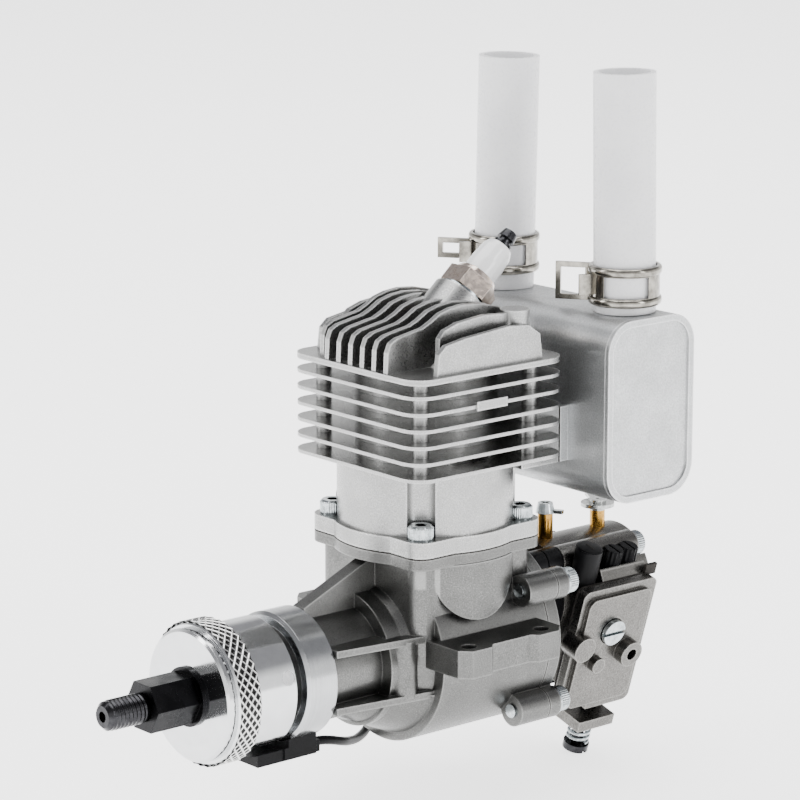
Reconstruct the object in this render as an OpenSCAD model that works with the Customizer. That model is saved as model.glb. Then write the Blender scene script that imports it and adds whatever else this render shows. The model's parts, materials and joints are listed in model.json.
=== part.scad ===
// Single-cylinder two-stroke engine for a model aircraft, rear carburettor and rear silencer.
// +Z is up, the propeller shaft points along -Y, the origin is where the crank axis meets
// the cylinder axis, in the middle of the four beam-mount holes.

/* [Crank train] */
// Cylinder bore
bore = 32; // [30:0.5:33]
// Piston travel
stroke = 25; // [23:0.5:25.5]
// Connecting rod, pin to pin
rod_length = 50; // [49:0.5:53]
// Piston crown above the wrist pin
crown_height = 14; // [12:0.5:16]
// Piston skirt below the wrist pin
skirt_below_pin = 8.5; // [7:0.5:9]
// Wrist pin diameter
wrist_pin_d = 8; // [6:0.5:9]
// Crankpin diameter
crankpin_d = 8; // [6:0.5:8.5]
// Width of the connecting rod's eyes
rod_width = 7; // [6:0.5:8]
// Radius of the crank web
web_radius = 22.4; // [21:0.2:23]
// Thickness of the crank web
web_thick = 8; // [6:0.5:9]

/* [Shaft and propeller end] */
// Shaft diameter in the rear main bearing
shaft_rear_d = 15; // [13:0.5:16]
// Shaft diameter in the front bearing
shaft_front_d = 12; // [11:0.5:13]
// Shaft diameter in the drive hub
shaft_hub_d = 10; // [9:0.5:10.5]
// Diameter of the propeller thread
thread_d = 8; // [6:0.5:8.5]
// Bare thread in front of the lock nut
thread_stub = 13; // [8:1:20]
// Hub diameter
hub_d = 36; // [34:0.5:37]
// Length of the plain part of the hub
hub_length = 13.9; // [11:0.1:16]
// Diameter of the knurled drive face
knurl_d = 39.6; // [37:0.2:42]
// Length of the knurled band
knurl_length = 7.3; // [5:0.1:9]
// Propeller washer diameter
washer_d = 37; // [33:0.5:40]
// Propeller washer thickness
washer_thick = 2.7; // [2:0.1:4]
// Nut size across its flats
nut_flats = 13; // [12:0.5:14]
// Height of each nut
nut_height = 7.6; // [6:0.1:10]

/* [Crankcase] */
// Wall around the crank chamber
case_wall = 2.3; // [2:0.1:3]
// Length of the nose in front of the crank chamber
nose_length = 44.4; // [43:0.2:50]
// Rear face of the crankcase
case_rear = 23.6; // [22.6:0.2:24]
// Height of the face that the cylinder stands on
deck_height = 31.6; // [31:0.2:32.2]
// Beam-mount holes, left to right
lug_span = 68; // [66:0.5:70]
// Beam-mount holes, front to rear
lug_pitch = 27; // [24:0.5:28]
// Beam-mount hole diameter
lug_hole_d = 4.4; // [3.2:0.1:5]
// Thickness of the mounting lugs
lug_thick = 8; // [6:0.5:9]

/* [Cylinder] */
// Outer diameter of the barrel below the fins
barrel_d = 50.6; // [46:0.2:51]
// Half width of the fins, left and right
fin_half_x = 28.1; // [26:0.1:30]
// Reach of the fins to the front and rear
fin_half_y = 28; // [26.5:0.1:29]
// Corner radius of the fins
fin_corner = 6.5; // [4:0.5:9]
// Spacing of the level fins
fin_pitch = 4.63; // [4.2:0.05:4.7]
// Thickness of the level fins
fin_thick = 1; // [0.8:0.1:1.6]
// Number of level fins
fin_count = 7; // [4:1:7]
// Spacing of the upright head fins
head_pitch = 5.1; // [4:0.1:5.2]
// Thickness of the upright head fins
head_fin_thick = 1.7; // [1.2:0.1:2.4]
// Cylinder screws, left to right
screw_span_x = 38.6; // [38:0.2:40]
// Cylinder screws, front to rear
screw_span_y = 36.8; // [36:0.2:38]

/* [Spark plug] */
// Tilt of the plug towards the rear
plug_tilt = 48.8; // [44:0.2:52]
// Plug hexagon across its flats
plug_flats = 14; // [13:0.5:15]
// Plug thread diameter
plug_thread_d = 10; // [9:0.5:10]

/* [Silencer] */
// Half width of the silencer box
box_half = 38; // [38:0.5:42]
// Front face of the silencer box
box_front = 34.5; // [34:0.1:36]
// Depth of the silencer box
box_depth = 33.5; // [30:0.5:38]
// Underside of the silencer box
box_low = 40.1; // [38:0.1:42]
// Height of the silencer box
box_height = 52.6; // [50:0.2:56]
// Corner radius of the silencer box
box_corner = 9; // [5:0.5:12]
// Wall of the silencer box
box_wall = 1.2; // [0.8:0.1:2]
// Outlets, distance from the ends of the silencer box
outlet_inset = 12.3; // [11:0.1:15]
// Outlet tube outer diameter
tube_d = 17.8; // [16:0.2:18]
// Outlet tube wall
tube_wall = 1.6; // [1:0.1:2]
// Outlet tube length
tube_length = 68; // [40:1:90]

/* [Carburettor] */
// Height of the carburettor bore above the crank axis
intake_z = 7; // [6:0.5:8]
// Carburettor bore diameter
intake_d = 16; // [12:0.5:17]
// Length of the carburettor body
carb_length = 34.3; // [34:0.1:38]
// Diameter of the brass spindles
spindle_d = 4.5; // [3.5:0.1:5]
// Tilt of the fuel pump side
cover_tilt = 17; // [12:1:20]

/* [Sensor] */
// Sensor ring diameter
ring_d = 36.5; // [35:0.5:38]
// Sensor ring length
ring_length = 10.3; // [8:0.1:11]
// Sensor lead diameter
lead_d = 2.6; // [1.6:0.1:3]

/* [Hidden] */
$fn = 48;

// Clearances: parts that turn or slide in each other, and parts that pass close by
fit_gap = 0.03;
run_gap = 0.3;
cut = 1;

// Heights along the cylinder axis, with the piston at the top of its travel
throw_r = stroke / 2;
wrist_z = throw_r + rod_length;
crown_z = wrist_z + crown_height;
skirt_z = wrist_z - skirt_below_pin;
roof_z = crown_z + 0.7;
plate_top = roof_z + 6.1;
gasket_thick = 0.4;
flange_low = deck_height + gasket_thick;
flange_thick = 4.5;
flange_top = flange_low + flange_thick;
spigot_r = bore / 2 + 2;
spigot_depth = 2;
fin_low = plate_top - (fin_count - 1) * fin_pitch - fin_thick;

// Pins and bushes of the connecting rod
wrist_pin_half = bore / 2 - 2.4;
small_bush_r = wrist_pin_d / 2 + 1.2;
big_bush_r = crankpin_d / 2 + 1.2;
big_eye_r = big_bush_r + 1.4;

// Spark plug, measured along its own axis from the middle of its hexagon
plug_seat = -4.4;
plug_reach = 16;
plug_tip = plug_seat - plug_reach;

// Stations along the shaft, from the connecting rod to the propeller end
web_rear = -(rod_width / 2 + run_gap);
web_front = web_rear - web_thick;
chamber_front = web_front - 0.8;
chamber_r = web_radius + 1.8;
barrel_r = chamber_r + case_wall;
case_front = chamber_front - 3.4;
rear_race_w = 9;
rear_race_r = shaft_rear_d / 2 + 8.5;
rear_race_y1 = web_front - 1.4;
rear_race_y0 = rear_race_y1 - rear_race_w;
nose_tip = chamber_front - nose_length;
front_race_w = 6;
front_race_r = shaft_front_d / 2 + 6;
front_race_y0 = nose_tip + 0.8;
front_race_y1 = front_race_y0 + front_race_w;
seal_y0 = front_race_y1 + 0.4;
seal_y1 = seal_y0 + 4.6;
mid_shaft_r = shaft_rear_d / 2 - 0.3;
spigot_nose_r = 15;
ring_front = nose_tip - 0.2;
ring_rear = ring_front + ring_length;
hub_rear = nose_tip - 3.8;
knurl_rear = hub_rear - hub_length;
knurl_front = knurl_rear - knurl_length;
washer_front = knurl_front - washer_thick;
nut_front = washer_front - nut_height;
lock_front = nut_front - nut_height;
shaft_tip = lock_front - thread_stub;
// The thread is a little slimmer under the nuts, up to where its free end begins
nut_relief = 0.2;
free_thread = lock_front - 0.4;
magnet_d = 4;
magnet_y = hub_rear - 2.8;
magnet_angle = 16;
rib_z = 8.2;

// Screws of the M4 size that hold the engine together
m4_r = 2;
m4_head_r = 3.5;
m4_head_h = 4;
case_bolts = [[25.5, 17.1], [22.5, -18.9]];
bolt_front = 13;
boss_r = 4.6;

// Intake tract behind the case
case_seal = 0.3;
housing_y0 = case_rear + case_seal;
housing_y1 = housing_y0 + 4.1;
insulator_y0 = housing_y1 + gasket_thick;
insulator_y1 = insulator_y0 + 11.4;
insulator_mid = (insulator_y0 + insulator_y1 - gasket_thick) / 2;
carb_y0 = insulator_y1 + gasket_thick;
carb_y1 = carb_y0 + carb_length;
intake_r = intake_d / 2;
insulator_r = 15;
body_r = 15;
carb_screw_x = 10.5;
carb_screw_z = 11;
ear_y1 = carb_y1 - 4.6;
reed_edge = housing_y0 - 13.4;
throttle_y = carb_y0 + 5.8;
choke_y = carb_y1 - 7.5;
spindle_top = intake_z + 22.5;
spindle_r = spindle_d / 2;
plate_r = intake_r - 0.12;
pump_low = -15;
pump_high = 13.8;
pump_out = 16;
pump_in = -17.5;
cover_low = -24.6;
cover_high = 17.4;
pump_y0 = carb_y0 + 0.8;
pump_y1 = pump_y0 + 27.4;
gasket_x = 0.8;
cover_thick = 4;
cover_mid_y = (pump_y0 + pump_y1) / 2;
cover_mid_z = (cover_low + cover_high) / 2;
cover_screw_y = cover_mid_y - 1.1;
cover_screw_z = 2.8;
inlet_y = cover_mid_y + 6.3;
inlet_z = -5;
boss_y = cover_mid_y - 12.5;
boss_z = -0.3;
dowel_y = cover_mid_y - 5.6;
dowel_z = -6.9;
boot_x = 11.8;
boot_y = carb_y0 + 5.6;
boot_r = 4;
raised_half_y = 12.4;
raised_half_z = 18.4;
cover_boss_r = 4;
dowel_r = 2.4;
meter_thick = 2.4;
meter_out = pump_in - 4;
meter_mid_z = -2;
meter_half_y = 13.4;
meter_half_z = 14;
meter_dome_r = 9;
meter_screw_y = 10.4;
meter_screw_z = 11;
meter_screw_r = 2.3;
needle_x = 10.6;
needle_y = [carb_y0 + 17.4, carb_y0 + 23.4];
needle_r = 2.6;
needle_top = pump_high + 10.4;
idle_x = 13.4;
idle_y = carb_y0 + 18.6;
idle_r = 1.5;
idle_leg = -31.5;
lever_z = -21.6;
lever_arm = 12.6;
lever_angle = 50;
// Second arm, which the throttle link hooks into from below
link_angle = lever_angle + 80;
link_hole_r = 0.8;

// Silencer
box_rear = box_front + box_depth;
box_top = box_low + box_height;
box_mid_y = box_front + box_depth / 2;
stub_r = tube_d / 2 - tube_wall - 0.35;
outlet_x = box_half - outlet_inset;
outlet_y = box_mid_y + 0.9;
stub_height = 16;
exhaust_face = fin_half_y + 3;
exhaust_seal = 0.6;
exhaust_mid = plate_top - 24.3;
silencer_screw_x = 17;
clamp_width = 11.2;
clamp_grip = 11;
clamp_rail = 2.6;
clamp_window = 12.6;

// Sensor module: its pod under the ring, its foot under the hub and its gland for the lead
pod_half = 9;
pod_low = -21.8;
pod_high = -13.5;
foot_x0 = -5;
foot_x1 = 8.5;
foot_low = -22;
foot_high = -17.5;
gland_x0 = -1.5;
gland_x1 = 5.5;
gland_low = -23;
gland_high = -19.6;

// Lead of the sensor: its free stretch, and the bundle on the far lug
lead_r = lead_d / 2;
lead_y = ring_rear + 3.4;
lug_back = lug_pitch / 2 + 6.2;
hank_r = 5.3;
hank_run = 22;
hank_x = -27.9;
hank_layers = 2;
hank_width = hank_layers * lead_d + 0.2;
hank_mid = lug_thick + hank_r + lead_r + hank_run / 2;
tail_x = -35.1;
tail_y = 4.8;
plug_top = lug_thick + 13.6;
lead_points = [
    [2, lead_y, -21.2], [2, -40, -21.5], [1.4, -36, -22.5], [-0.4, -31, -24.3], [-4, -25, -26.4],
    [-8.4, -18, -27.9], [-13, -11, -27.5], [-18, -5, -24.9], [-23, 2, -20.5], [-27.2, 9, -14.6],
    [-30, 15, -9.6], [-30.8, lug_back - 0.4, -5.6], [-31.2, lug_back + 2.9, -2.8], [-31.2,
    lug_back + 4.7, 1],
    [-30.8, lug_back + 4.3, lug_thick - 3], [-30, lug_back + 1.9, lug_thick + 0.6],
    [-29, lug_back - 1.4, lug_thick + 2.1], [-28.5, lug_back - 4.4, lug_thick + 2.3], [-28.5, 11,
    lug_thick + 2],
    [-29, 7.4, lug_thick + 1.8], [-29.4, 3.6, lug_thick + 1.9]
];
tail_points = [
    [-31.6, 5.3, hank_mid + 10], [-33.6, 5.2, hank_mid + 7], [-34.8, 5, hank_mid + 3.2],
    [tail_x, tail_y, hank_mid - 0.6], [tail_x, tail_y, plug_top]
];

// A straight round bar along Y between two stations
module bar_y(y0, y1, r, r2 = -1) {
    translate([0, y0, 0]) rotate([-90, 0, 0]) cylinder(h = y1 - y0, r1 = r, r2 = r2 < 0 ? r : r2);
}

// A straight round bar along X
module bar_x(x0, x1, r) {
    translate([x0, 0, 0]) rotate([0, 90, 0]) cylinder(h = x1 - x0, r = r);
}

// A ring along Y
module ring_y(y0, y1, r_out, r_in) {
    difference() {
        bar_y(y0, y1, r_out);
        bar_y(y0 - cut, y1 + cut, r_in);
    }
}

// A box between two corners
module block(low, high) {
    translate(low) cube(high - low);
}

// A flat rectangle with round corners, centred
module round_rect(half_x, half_y, r) {
    square([2 * half_x, 2 * (half_y - r)], center = true);
    square([2 * (half_x - r), 2 * half_y], center = true);
    for (sx = [-1, 1], sy = [-1, 1])
        translate([sx * (half_x - r), sy * (half_y - r)]) circle(r = r);
}

// A cap-head screw: its head stands on z = 0 and its shank runs down
module cap_screw(length, r = m4_r, head_r = m4_head_r, head_h = m4_head_h) {
    difference() {
        union() {
            cylinder(h = head_h - 0.5, r = head_r);
            translate([0, 0, head_h - 0.5]) cylinder(h = 0.5, r1 = head_r, r2 = head_r - 0.5);
        }
        translate([0, 0, head_h - 2.2]) cylinder(h = 3, r = head_r * 0.5, $fn = 6);
    }
    translate([0, 0, -length]) cylinder(h = length, r = r);
}

// The same screw lying along Y, its head towards the rear
module cap_screw_y(y, length, r = m4_r, head_r = m4_head_r, head_h = m4_head_h) {
    translate([0, y, 0]) rotate([-90, 0, 0]) cap_screw(length, r, head_r, head_h);
}

// A hexagonal bar by its width across flats
module hex_bar(flats, height) {
    cylinder(h = height, r = flats / 2 / cos(30), $fn = 6);
}

// A round tube swept along a list of points; ref is a direction that it never takes
function unit(v) = v / norm(v);
function heading(p, i) = unit(p[min(i + 1, len(p) - 1)] - p[max(i - 1, 0)]);
function ring_of(p, i, r, ref, sides) =
    let(t = heading(p, i), s = unit(cross(t, ref)), u = cross(s, t))
    [for (k = [0:sides - 1]) p[i] + r * (s * cos(360 * k / sides) + u * sin(360 * k / sides))];
module swept_tube(p, r, ref, sides = 8) {
    rings = [for (i = [0:len(p) - 1]) each ring_of(p, i, r, ref, sides)];
    walls = [for (i = [0:len(p) - 2], k = [0:sides - 1])
        let(a = i * sides + k, b = i * sides + (k + 1) % sides)
        each [[b, a, a + sides], [b, a + sides, b + sides]]];
    last = (len(p) - 1) * sides;
    ends = [[for (k = [0:sides - 1]) k], [for (k = [sides - 1:-1:0]) last + k]];
    polyhedron(points = rings, faces = concat(walls, ends), convexity = 8);
}

// A helical wire of round section, turned about z
module coil_spring(radius, wire_r, height, turns) {
    steps = turns * 16;
    helix = [for (i = [0:steps]) let(a = 360 * i * turns / steps)
        [radius * cos(a), radius * sin(a), wire_r + (height - 2 * wire_r) * i / steps]];
    swept_tube(helix, wire_r, [0, 0, 1]);
}

// Outline of the joint between cylinder and case: four ears round the screws
module joint_outline() {
    round_rect(screw_span_x / 2 + 5.2, screw_span_y / 2 + 5.2, 5.2);
    circle(r = 26.6);
}

module at_cylinder_screws() {
    for (sx = [-1, 1], sy = [-1, 1])
        translate([sx * screw_span_x / 2, sy * screw_span_y / 2, 0]) children();
}

module at_case_bolts() {
    for (b = case_bolts, s = [-1, 1])
        translate([s * b[0], 0, b[1]]) children();
}

// Webs that join the case bolts' bosses to the middle
module bolt_webs(y0, y1) {
    for (b = case_bolts, s = [-1, 1])
        rotate([0, -atan2(b[1], s * b[0]), 0])
            block([0, y0, 1 - boss_r], [norm(b), y1, boss_r - 1]);
}

// Outline of the joint behind the case, as x and z: bosses and webs on a round plate
module bolt_outline(r) {
    circle(r = barrel_r);
    for (b = case_bolts, s = [-1, 1]) {
        translate([s * b[0], b[1]]) circle(r = r);
        rotate(atan2(b[1], s * b[0])) translate([0, 1 - boss_r]) square([norm(b), 2 * (boss_r - 1)]);
    }
}

// A plate of that outline between two stations
module bolt_plate(y0, y1, r) {
    translate([0, y1, 0]) rotate([90, 0, 0]) linear_extrude(y1 - y0) bolt_outline(r);
}

module at_carb_screws() {
    for (s = [-1, 1])
        translate([s * carb_screw_x, 0, intake_z + s * carb_screw_z]) children();
}

// Transfer passages beside the bore, left and right
module transfer_passages(low, high) {
    for (s = [-1, 1])
        translate([s * (bore / 2 + 1.6), 0, low])
            translate([-2.6, -7, 0]) cube([5.2, 14, high - low]);
}

// One mounting lug, on the right
module lug_plate() {
    half = lug_span / 2;
    linear_extrude(lug_thick) polygon([
        [18, -lug_pitch / 2 - 5.2], [half + 1.5, -lug_pitch / 2 - 5.2], [half + 4.5, -lug_pitch / 2 - 2.2],
        [half + 4.5, -lug_pitch / 2 + 4.6], [half + 2.6, -lug_pitch / 2 + 6.5],
        [half + 2.6, lug_pitch / 2 - 6.5], [half + 4.5, lug_pitch / 2 - 4.6],
        [half + 4.5, lug_pitch / 2 + 2.7], [half + 1, lug_pitch / 2 + 6.2], [18, lug_pitch / 2 + 6.2]
    ]);
}

module nose_shape() {
    bar_y(ring_rear, case_front + cut, 15.5);
    bar_y(case_front - 13, case_front + cut, 19.5);
    bar_y(case_front - 8, case_front + cut, 19.5, 23);
    // The underside swells into the chamber
    intersection() {
        bar_y(case_front - 20, case_front + cut, 15.5, barrel_r - 2);
        block([-40, case_front - 20, -40], [40, case_front + cut, -rib_z]);
    }
    // Level ribs at the sides, two on each side
    for (z = [-rib_z, rib_z]) translate([0, 0, z - 1]) linear_extrude(2) polygon([
        [-17.6, ring_rear], [17.6, ring_rear], [21.6, case_front - 4], [22.8, case_front + 4],
        [-22.8, case_front + 4], [-21.6, case_front - 4]
    ]);
    // Upright web up to the cylinder joint
    translate([-1.6, 0, 0]) rotate([90, 0, 90]) linear_extrude(4.8) polygon([
        [ring_rear, 0], [ring_rear, 18.2], [case_front - 9, deck_height - 4], [case_front - 4,
        deck_height - 2],
        [case_front, 0]
    ]);
    // Round bosses between the ribs
    for (s = [-1, 1]) translate([s * 17.4, case_front - 7, -rib_z]) cylinder(h = 2 * rib_z, r = 4);
}

// Sides of the transfer passages: a round wall that narrows downwards
module transfer_walls() {
    intersection() {
        union() {
            translate([0, 0, 9.4]) cylinder(h = 9.6, r1 = 21.4, r2 = 25.9);
            translate([0, 0, 18.9]) cylinder(h = deck_height - 21, r = 25.9);
        }
        block([-30, -15.4, 0], [30, 15.4, 40]);
    }
}

module crankcase() {
    color("silver") difference() {
        union() {
            bar_y(case_front, case_rear, barrel_r);
            linear_extrude(deck_height - 3) round_rect(22.3, 21.5, 5);
            translate([0, 0, deck_height - 3.1]) linear_extrude(3.1) joint_outline();
            for (s = [0, 1]) mirror([s, 0, 0]) lug_plate();
            transfer_walls();
            at_case_bolts() bar_y(bolt_front, case_rear, boss_r);
            bolt_webs(bolt_front + 1.5, case_rear - 0.4);
            nose_shape();
            bar_y(nose_tip, ring_rear + cut, spigot_nose_r);
        }
        bar_y(chamber_front, case_rear + cut, chamber_r);
        bar_y(rear_race_y0, chamber_front + cut, rear_race_r + fit_gap);
        bar_y(nose_tip - cut, seal_y1, front_race_r + fit_gap);
        bar_y(seal_y1 - cut, rear_race_y0 + cut, mid_shaft_r + 1.2);
        translate([0, 0, spigot_r]) cylinder(h = deck_height, r = spigot_r + 0.05);
        // Room for the connecting rod's lower end, left and right
        block([-spigot_r, -rod_width, 12], [spigot_r, rod_width, spigot_r + cut]);
        transfer_passages(chamber_r * 0.5, deck_height + cut);
        at_cylinder_screws() translate([0, 0, deck_height - 9]) cylinder(h = 10, r = m4_r + fit_gap);
        at_case_bolts() bar_y(bolt_front - cut, case_rear + cut, m4_r + fit_gap);
        for (sx = [-1, 1], sy = [-1, 1])
            translate([sx * lug_span / 2, sy * lug_pitch / 2, -cut])
                cylinder(h = lug_thick + 2 * cut, r = lug_hole_d / 2);
    }
}

module base_gasket() {
    color("dimgray") translate([0, 0, deck_height]) difference() {
        linear_extrude(gasket_thick) joint_outline();
        translate([0, 0, -cut]) cylinder(h = 3, r = spigot_r + 0.05);
        translate([0, 0, -deck_height]) transfer_passages(deck_height - cut, deck_height + cut);
        at_cylinder_screws() translate([0, 0, -cut]) cylinder(h = 3, r = m4_r + 0.2);
    }
}

// Places children on the plug's axis, z = 0 in the middle of its hexagon
module on_plug_axis() {
    translate([0, 15.9, plate_top + 16.9]) rotate([-plug_tilt, 0, 0]) children();
}

// An upright fin of the head, from its side outline
module head_fin(x, outline) {
    translate([x - head_fin_thick / 2, 0, plate_top - 0.5]) rotate([90, 0, 90])
        linear_extrude(head_fin_thick) polygon(outline);
}

// Side outline of the wavy fins, as y and height above the top plate
function wavy_fin(front) = [
    [front, 0], [front + 0.3, 6.4], [front + 1.4, 8.9], [front + 3.6, 10], [front + 9, 11],
    [front + 12.6, 11.6], [front + 15.8, 13], [front + 19, 14.9], [front + 23, 16],
    [front + 28, 16.5], [front + 34, 16], [front + 40, 14.6], [front + 46, 11.4], [front + 50, 6.4],
    [front + 51.6, 0]
];

// Side outlines of the stepped fins at the sides
inner_step_fin = [[-13.8, 0], [-13.4, 9.6], [-11.6, 11.6], [-6.6, 13.2], [3, 14.2], [12, 13.6],
    [20, 10], [22, 0]];
outer_step_fin = [[-18.4, 0], [-17.6, 6.4], [-15, 8.6], [-8, 9.8], [8, 11.2], [15, 10.6], [19.4,
    7.6], [20.4, 0]];

module level_fins() {
    for (i = [0:fin_count - 1]) {
        thick = i == 0 ? fin_thick + 0.6 : fin_thick;
        translate([0, 0.7, plate_top - i * fin_pitch - thick]) linear_extrude(thick)
            round_rect(fin_half_x, fin_half_y, fin_corner);
    }
    // Short posts that tie the fins together near their corners
    for (sx = [-1, 1], sy = [-1, 1])
        translate([sx * 21, sy * 20, fin_low]) cylinder(h = plate_top - fin_low - 0.5, r = 2.2);
    // Cast tab on the edge of the third fin
    block([fin_half_x - 2, -6, plate_top - 2 * fin_pitch - 1.6], [fin_half_x + 0.6, 5,
        plate_top - 2 * fin_pitch + 1]);
}

module head_fins() {
    for (i = [0:6]) head_fin(-16.5 + i * head_pitch, wavy_fin(i == 0 ? -24.4 : -26.8));
    for (s = [-1, 1]) {
        head_fin(s * 20.4, inner_step_fin);
        head_fin(s * 25.2, outer_step_fin);
    }
    translate([20.4, 15, plate_top - 0.5]) cylinder(h = 14.5, r = 4.2);
    translate([0, 0, plate_top - 0.5]) cylinder(h = 8.5, r1 = 19, r2 = 13);
}

module cylinder_part() {
    color("lightgray") difference() {
        union() {
            translate([0, 0, flange_low]) linear_extrude(flange_thick) joint_outline();
            translate([0, 0, flange_low - spigot_depth]) cylinder(h = spigot_depth + cut, r = spigot_r);
            difference() {
                translate([0, 0, flange_low]) cylinder(h = fin_low - flange_low + 0.2, r = barrel_d / 2);
                at_cylinder_screws() translate([0, 0, flange_top]) cylinder(h = 60, r = m4_head_r + 0.8);
            }
            translate([0, 0, fin_low]) cylinder(h = plate_top - fin_low - 0.5, r = bore / 2 + 4);
            level_fins();
            difference() {
                head_fins();
                on_plug_axis() translate([0, 0, -14]) cylinder(h = 50, r = 9.6);
            }
            on_plug_axis() translate([0, 0, -14]) cylinder(h = 14 + plug_seat, r = 8.6);
            block([-21.5, 17, exhaust_mid - 8], [21.5, exhaust_face, exhaust_mid + 8]);
        }
        translate([0, 0, flange_low - spigot_depth - cut])
            cylinder(h = roof_z - flange_low + spigot_depth + cut, r = bore / 2);
        translate([0, 1, roof_z - 1.2]) sphere(r = 12);
        transfer_passages(flange_low - spigot_depth - cut, crown_z - stroke + 5.5);
        for (s = [-1, 1]) translate([s * bore / 2 - 3, -5.5, crown_z - stroke - 0.5]) cube([6, 11, 6]);
        block([-8, 8, exhaust_mid - 5], [8, exhaust_face + cut, exhaust_mid + 4]);
        at_cylinder_screws() translate([0, 0, flange_low - cut])
            cylinder(h = flange_thick + 2 * cut, r = m4_r + 0.1);
        on_plug_axis() translate([0, 0, plug_tip - 2]) cylinder(h = plug_reach + 3,
            r = plug_thread_d / 2 + fit_gap);
        for (s = [-1, 1]) translate([s * silencer_screw_x, 0, exhaust_mid]) bar_y(23,
            exhaust_face + cut, m4_r + fit_gap);
    }
}

module cylinder_screws() {
    color("gainsboro") at_cylinder_screws() translate([0, 0, flange_top]) cap_screw(12);
}

module plug_shell() {
    shell_in = plug_thread_d / 2 - 0.9;
    color("rosybrown") on_plug_axis() {
        difference() {
            union() {
                translate([0, 0, -3.2]) hex_bar(plug_flats, 5.4);
                translate([0, 0, 2.2]) cylinder(h = 1.8, r1 = 7, r2 = 6);
                translate([0, 0, plug_tip]) cylinder(h = plug_reach + 1.4, r = plug_thread_d / 2);
                translate([0, 0, plug_seat + 1.2]) cylinder(h = 1, r = 6.8);
            }
            translate([0, 0, plug_tip - cut]) cylinder(h = 40, r = shell_in);
        }
        // Earth electrode across the end
        translate([shell_in, -0.8, plug_tip - 1.6]) cube([0.9, 1.6, 1.8]);
        translate([-0.8, -0.8, plug_tip - 1.6]) cube([shell_in + 1.2, 1.6, 0.8]);
    }
}

module plug_washer() {
    color("silver") on_plug_axis() translate([0, 0, plug_seat]) difference() {
        cylinder(h = 1.2, r = 7.2);
        translate([0, 0, -cut]) cylinder(h = 4, r = plug_thread_d / 2 + 0.1);
    }
}

module plug_insulator() {
    in_r = plug_thread_d / 2 - 0.9 - 0.05;
    color("white") on_plug_axis() rotate_extrude() polygon([
        [1.1, plug_tip + 0.6], [1.9, plug_tip + 0.6], [2.6, plug_tip + 7], [in_r, plug_tip + 9],
        [in_r, 4.05], [5, 4.05],
        [5, 9], [4.6, 13.6], [3.8, 15.3], [1.1, 15.3]
    ]);
}

module plug_terminal() {
    color("dimgray") on_plug_axis() {
        translate([0, 0, plug_tip + 0.2]) cylinder(h = 15.3 - plug_tip, r = 1);
        translate([0, 0, 15.35]) cylinder(h = 1.4, r = 2.8);
        translate([0, 0, 16.7]) cylinder(h = 1.6, r = 1.9);
        translate([0, 0, 18.2]) cylinder(h = 2.6, r1 = 2.7, r2 = 2.2);
    }
}

module piston() {
    piston_r = bore / 2 - 0.06;
    color("gray") difference() {
        translate([0, 0, skirt_z]) cylinder(h = crown_z - skirt_z, r = piston_r);
        // Hollow underside, with a slot between the pin bosses for the rod
        translate([0, 0, skirt_z - cut]) cylinder(h = wrist_z - skirt_z - 5, r = piston_r - 2.2);
        block([-piston_r + 3.4, -rod_width / 2 - 0.6, skirt_z - cut], [piston_r - 3.4,
            rod_width / 2 + 0.6, wrist_z + 7.5]);
        translate([0, 0, wrist_z]) bar_y(-bore, bore, wrist_pin_d / 2 + fit_gap);
        translate([0, 0, crown_z - 4]) difference() {
            cylinder(h = 1.1, r = bore);
            translate([0, 0, -cut]) cylinder(h = 4, r = piston_r - 1.6);
        }
    }
}

module piston_ring() {
    color("darkgray") translate([0, 0, crown_z - 3.95]) difference() {
        cylinder(h = 1, r = bore / 2 - 0.04);
        translate([0, 0, -cut]) cylinder(h = 3, r = bore / 2 - 1.55);
        translate([0, -0.25, -cut]) cube([bore, 0.5, 4]);
    }
}

module wrist_pin() {
    color("silver") translate([0, 0, wrist_z]) ring_y(-wrist_pin_half, wrist_pin_half,
        wrist_pin_d / 2, wrist_pin_d / 2 - 1.8);
}

module wrist_clips() {
    color("dimgray") translate([0, 0, wrist_z]) for (s = [-1, 1])
        translate([0, s * (wrist_pin_half + 0.5), 0]) difference() {
            ring_y(-0.4, 0.4, wrist_pin_d / 2, wrist_pin_d / 2 - 0.9);
            block([-1, -2, 0], [1, 2, 6]);
        }
}

module connecting_rod() {
    half = rod_width / 2;
    color("silver") difference() {
        union() {
            translate([0, 0, wrist_z]) bar_y(-half, half, small_bush_r + 1.4);
            translate([0, 0, throw_r]) bar_y(-half, half, big_eye_r);
            translate([0, half - 1.5, 0]) rotate([90, 0, 0]) linear_extrude(rod_width - 3) polygon([
                [-4.4, throw_r + 3], [4.4, throw_r + 3], [3.4, wrist_z - 3], [-3.4, wrist_z - 3]
            ]);
        }
        translate([0, 0, wrist_z]) bar_y(-9, 9, small_bush_r);
        translate([0, 0, throw_r]) bar_y(-9, 9, big_bush_r);
        // The beam's flutes on both faces
        for (s = [-1, 1]) translate([0, s * (half - 1.2), 0]) block([-1.7, -0.7, throw_r + 9],
            [1.7, 0.7, wrist_z - 9]);
    }
}

module rod_bearings() {
    half = rod_width / 2 - 0.2;
    color("gold") {
        translate([0, 0, wrist_z]) ring_y(-half, half, small_bush_r - 0.02, wrist_pin_d / 2 + 0.03);
        translate([0, 0, throw_r]) ring_y(-half, half, big_bush_r - 0.02, crankpin_d / 2 + 0.01);
    }
}

module crankpin() {
    color("silver") translate([0, 0, throw_r]) difference() {
        bar_y(-rod_width / 2, rod_width / 2 + 1.5, crankpin_d / 2);
        bar_y(-rod_width / 2 - cut, rod_width / 2 + 2.5, crankpin_d / 2 - 2.2);
    }
}

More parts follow.
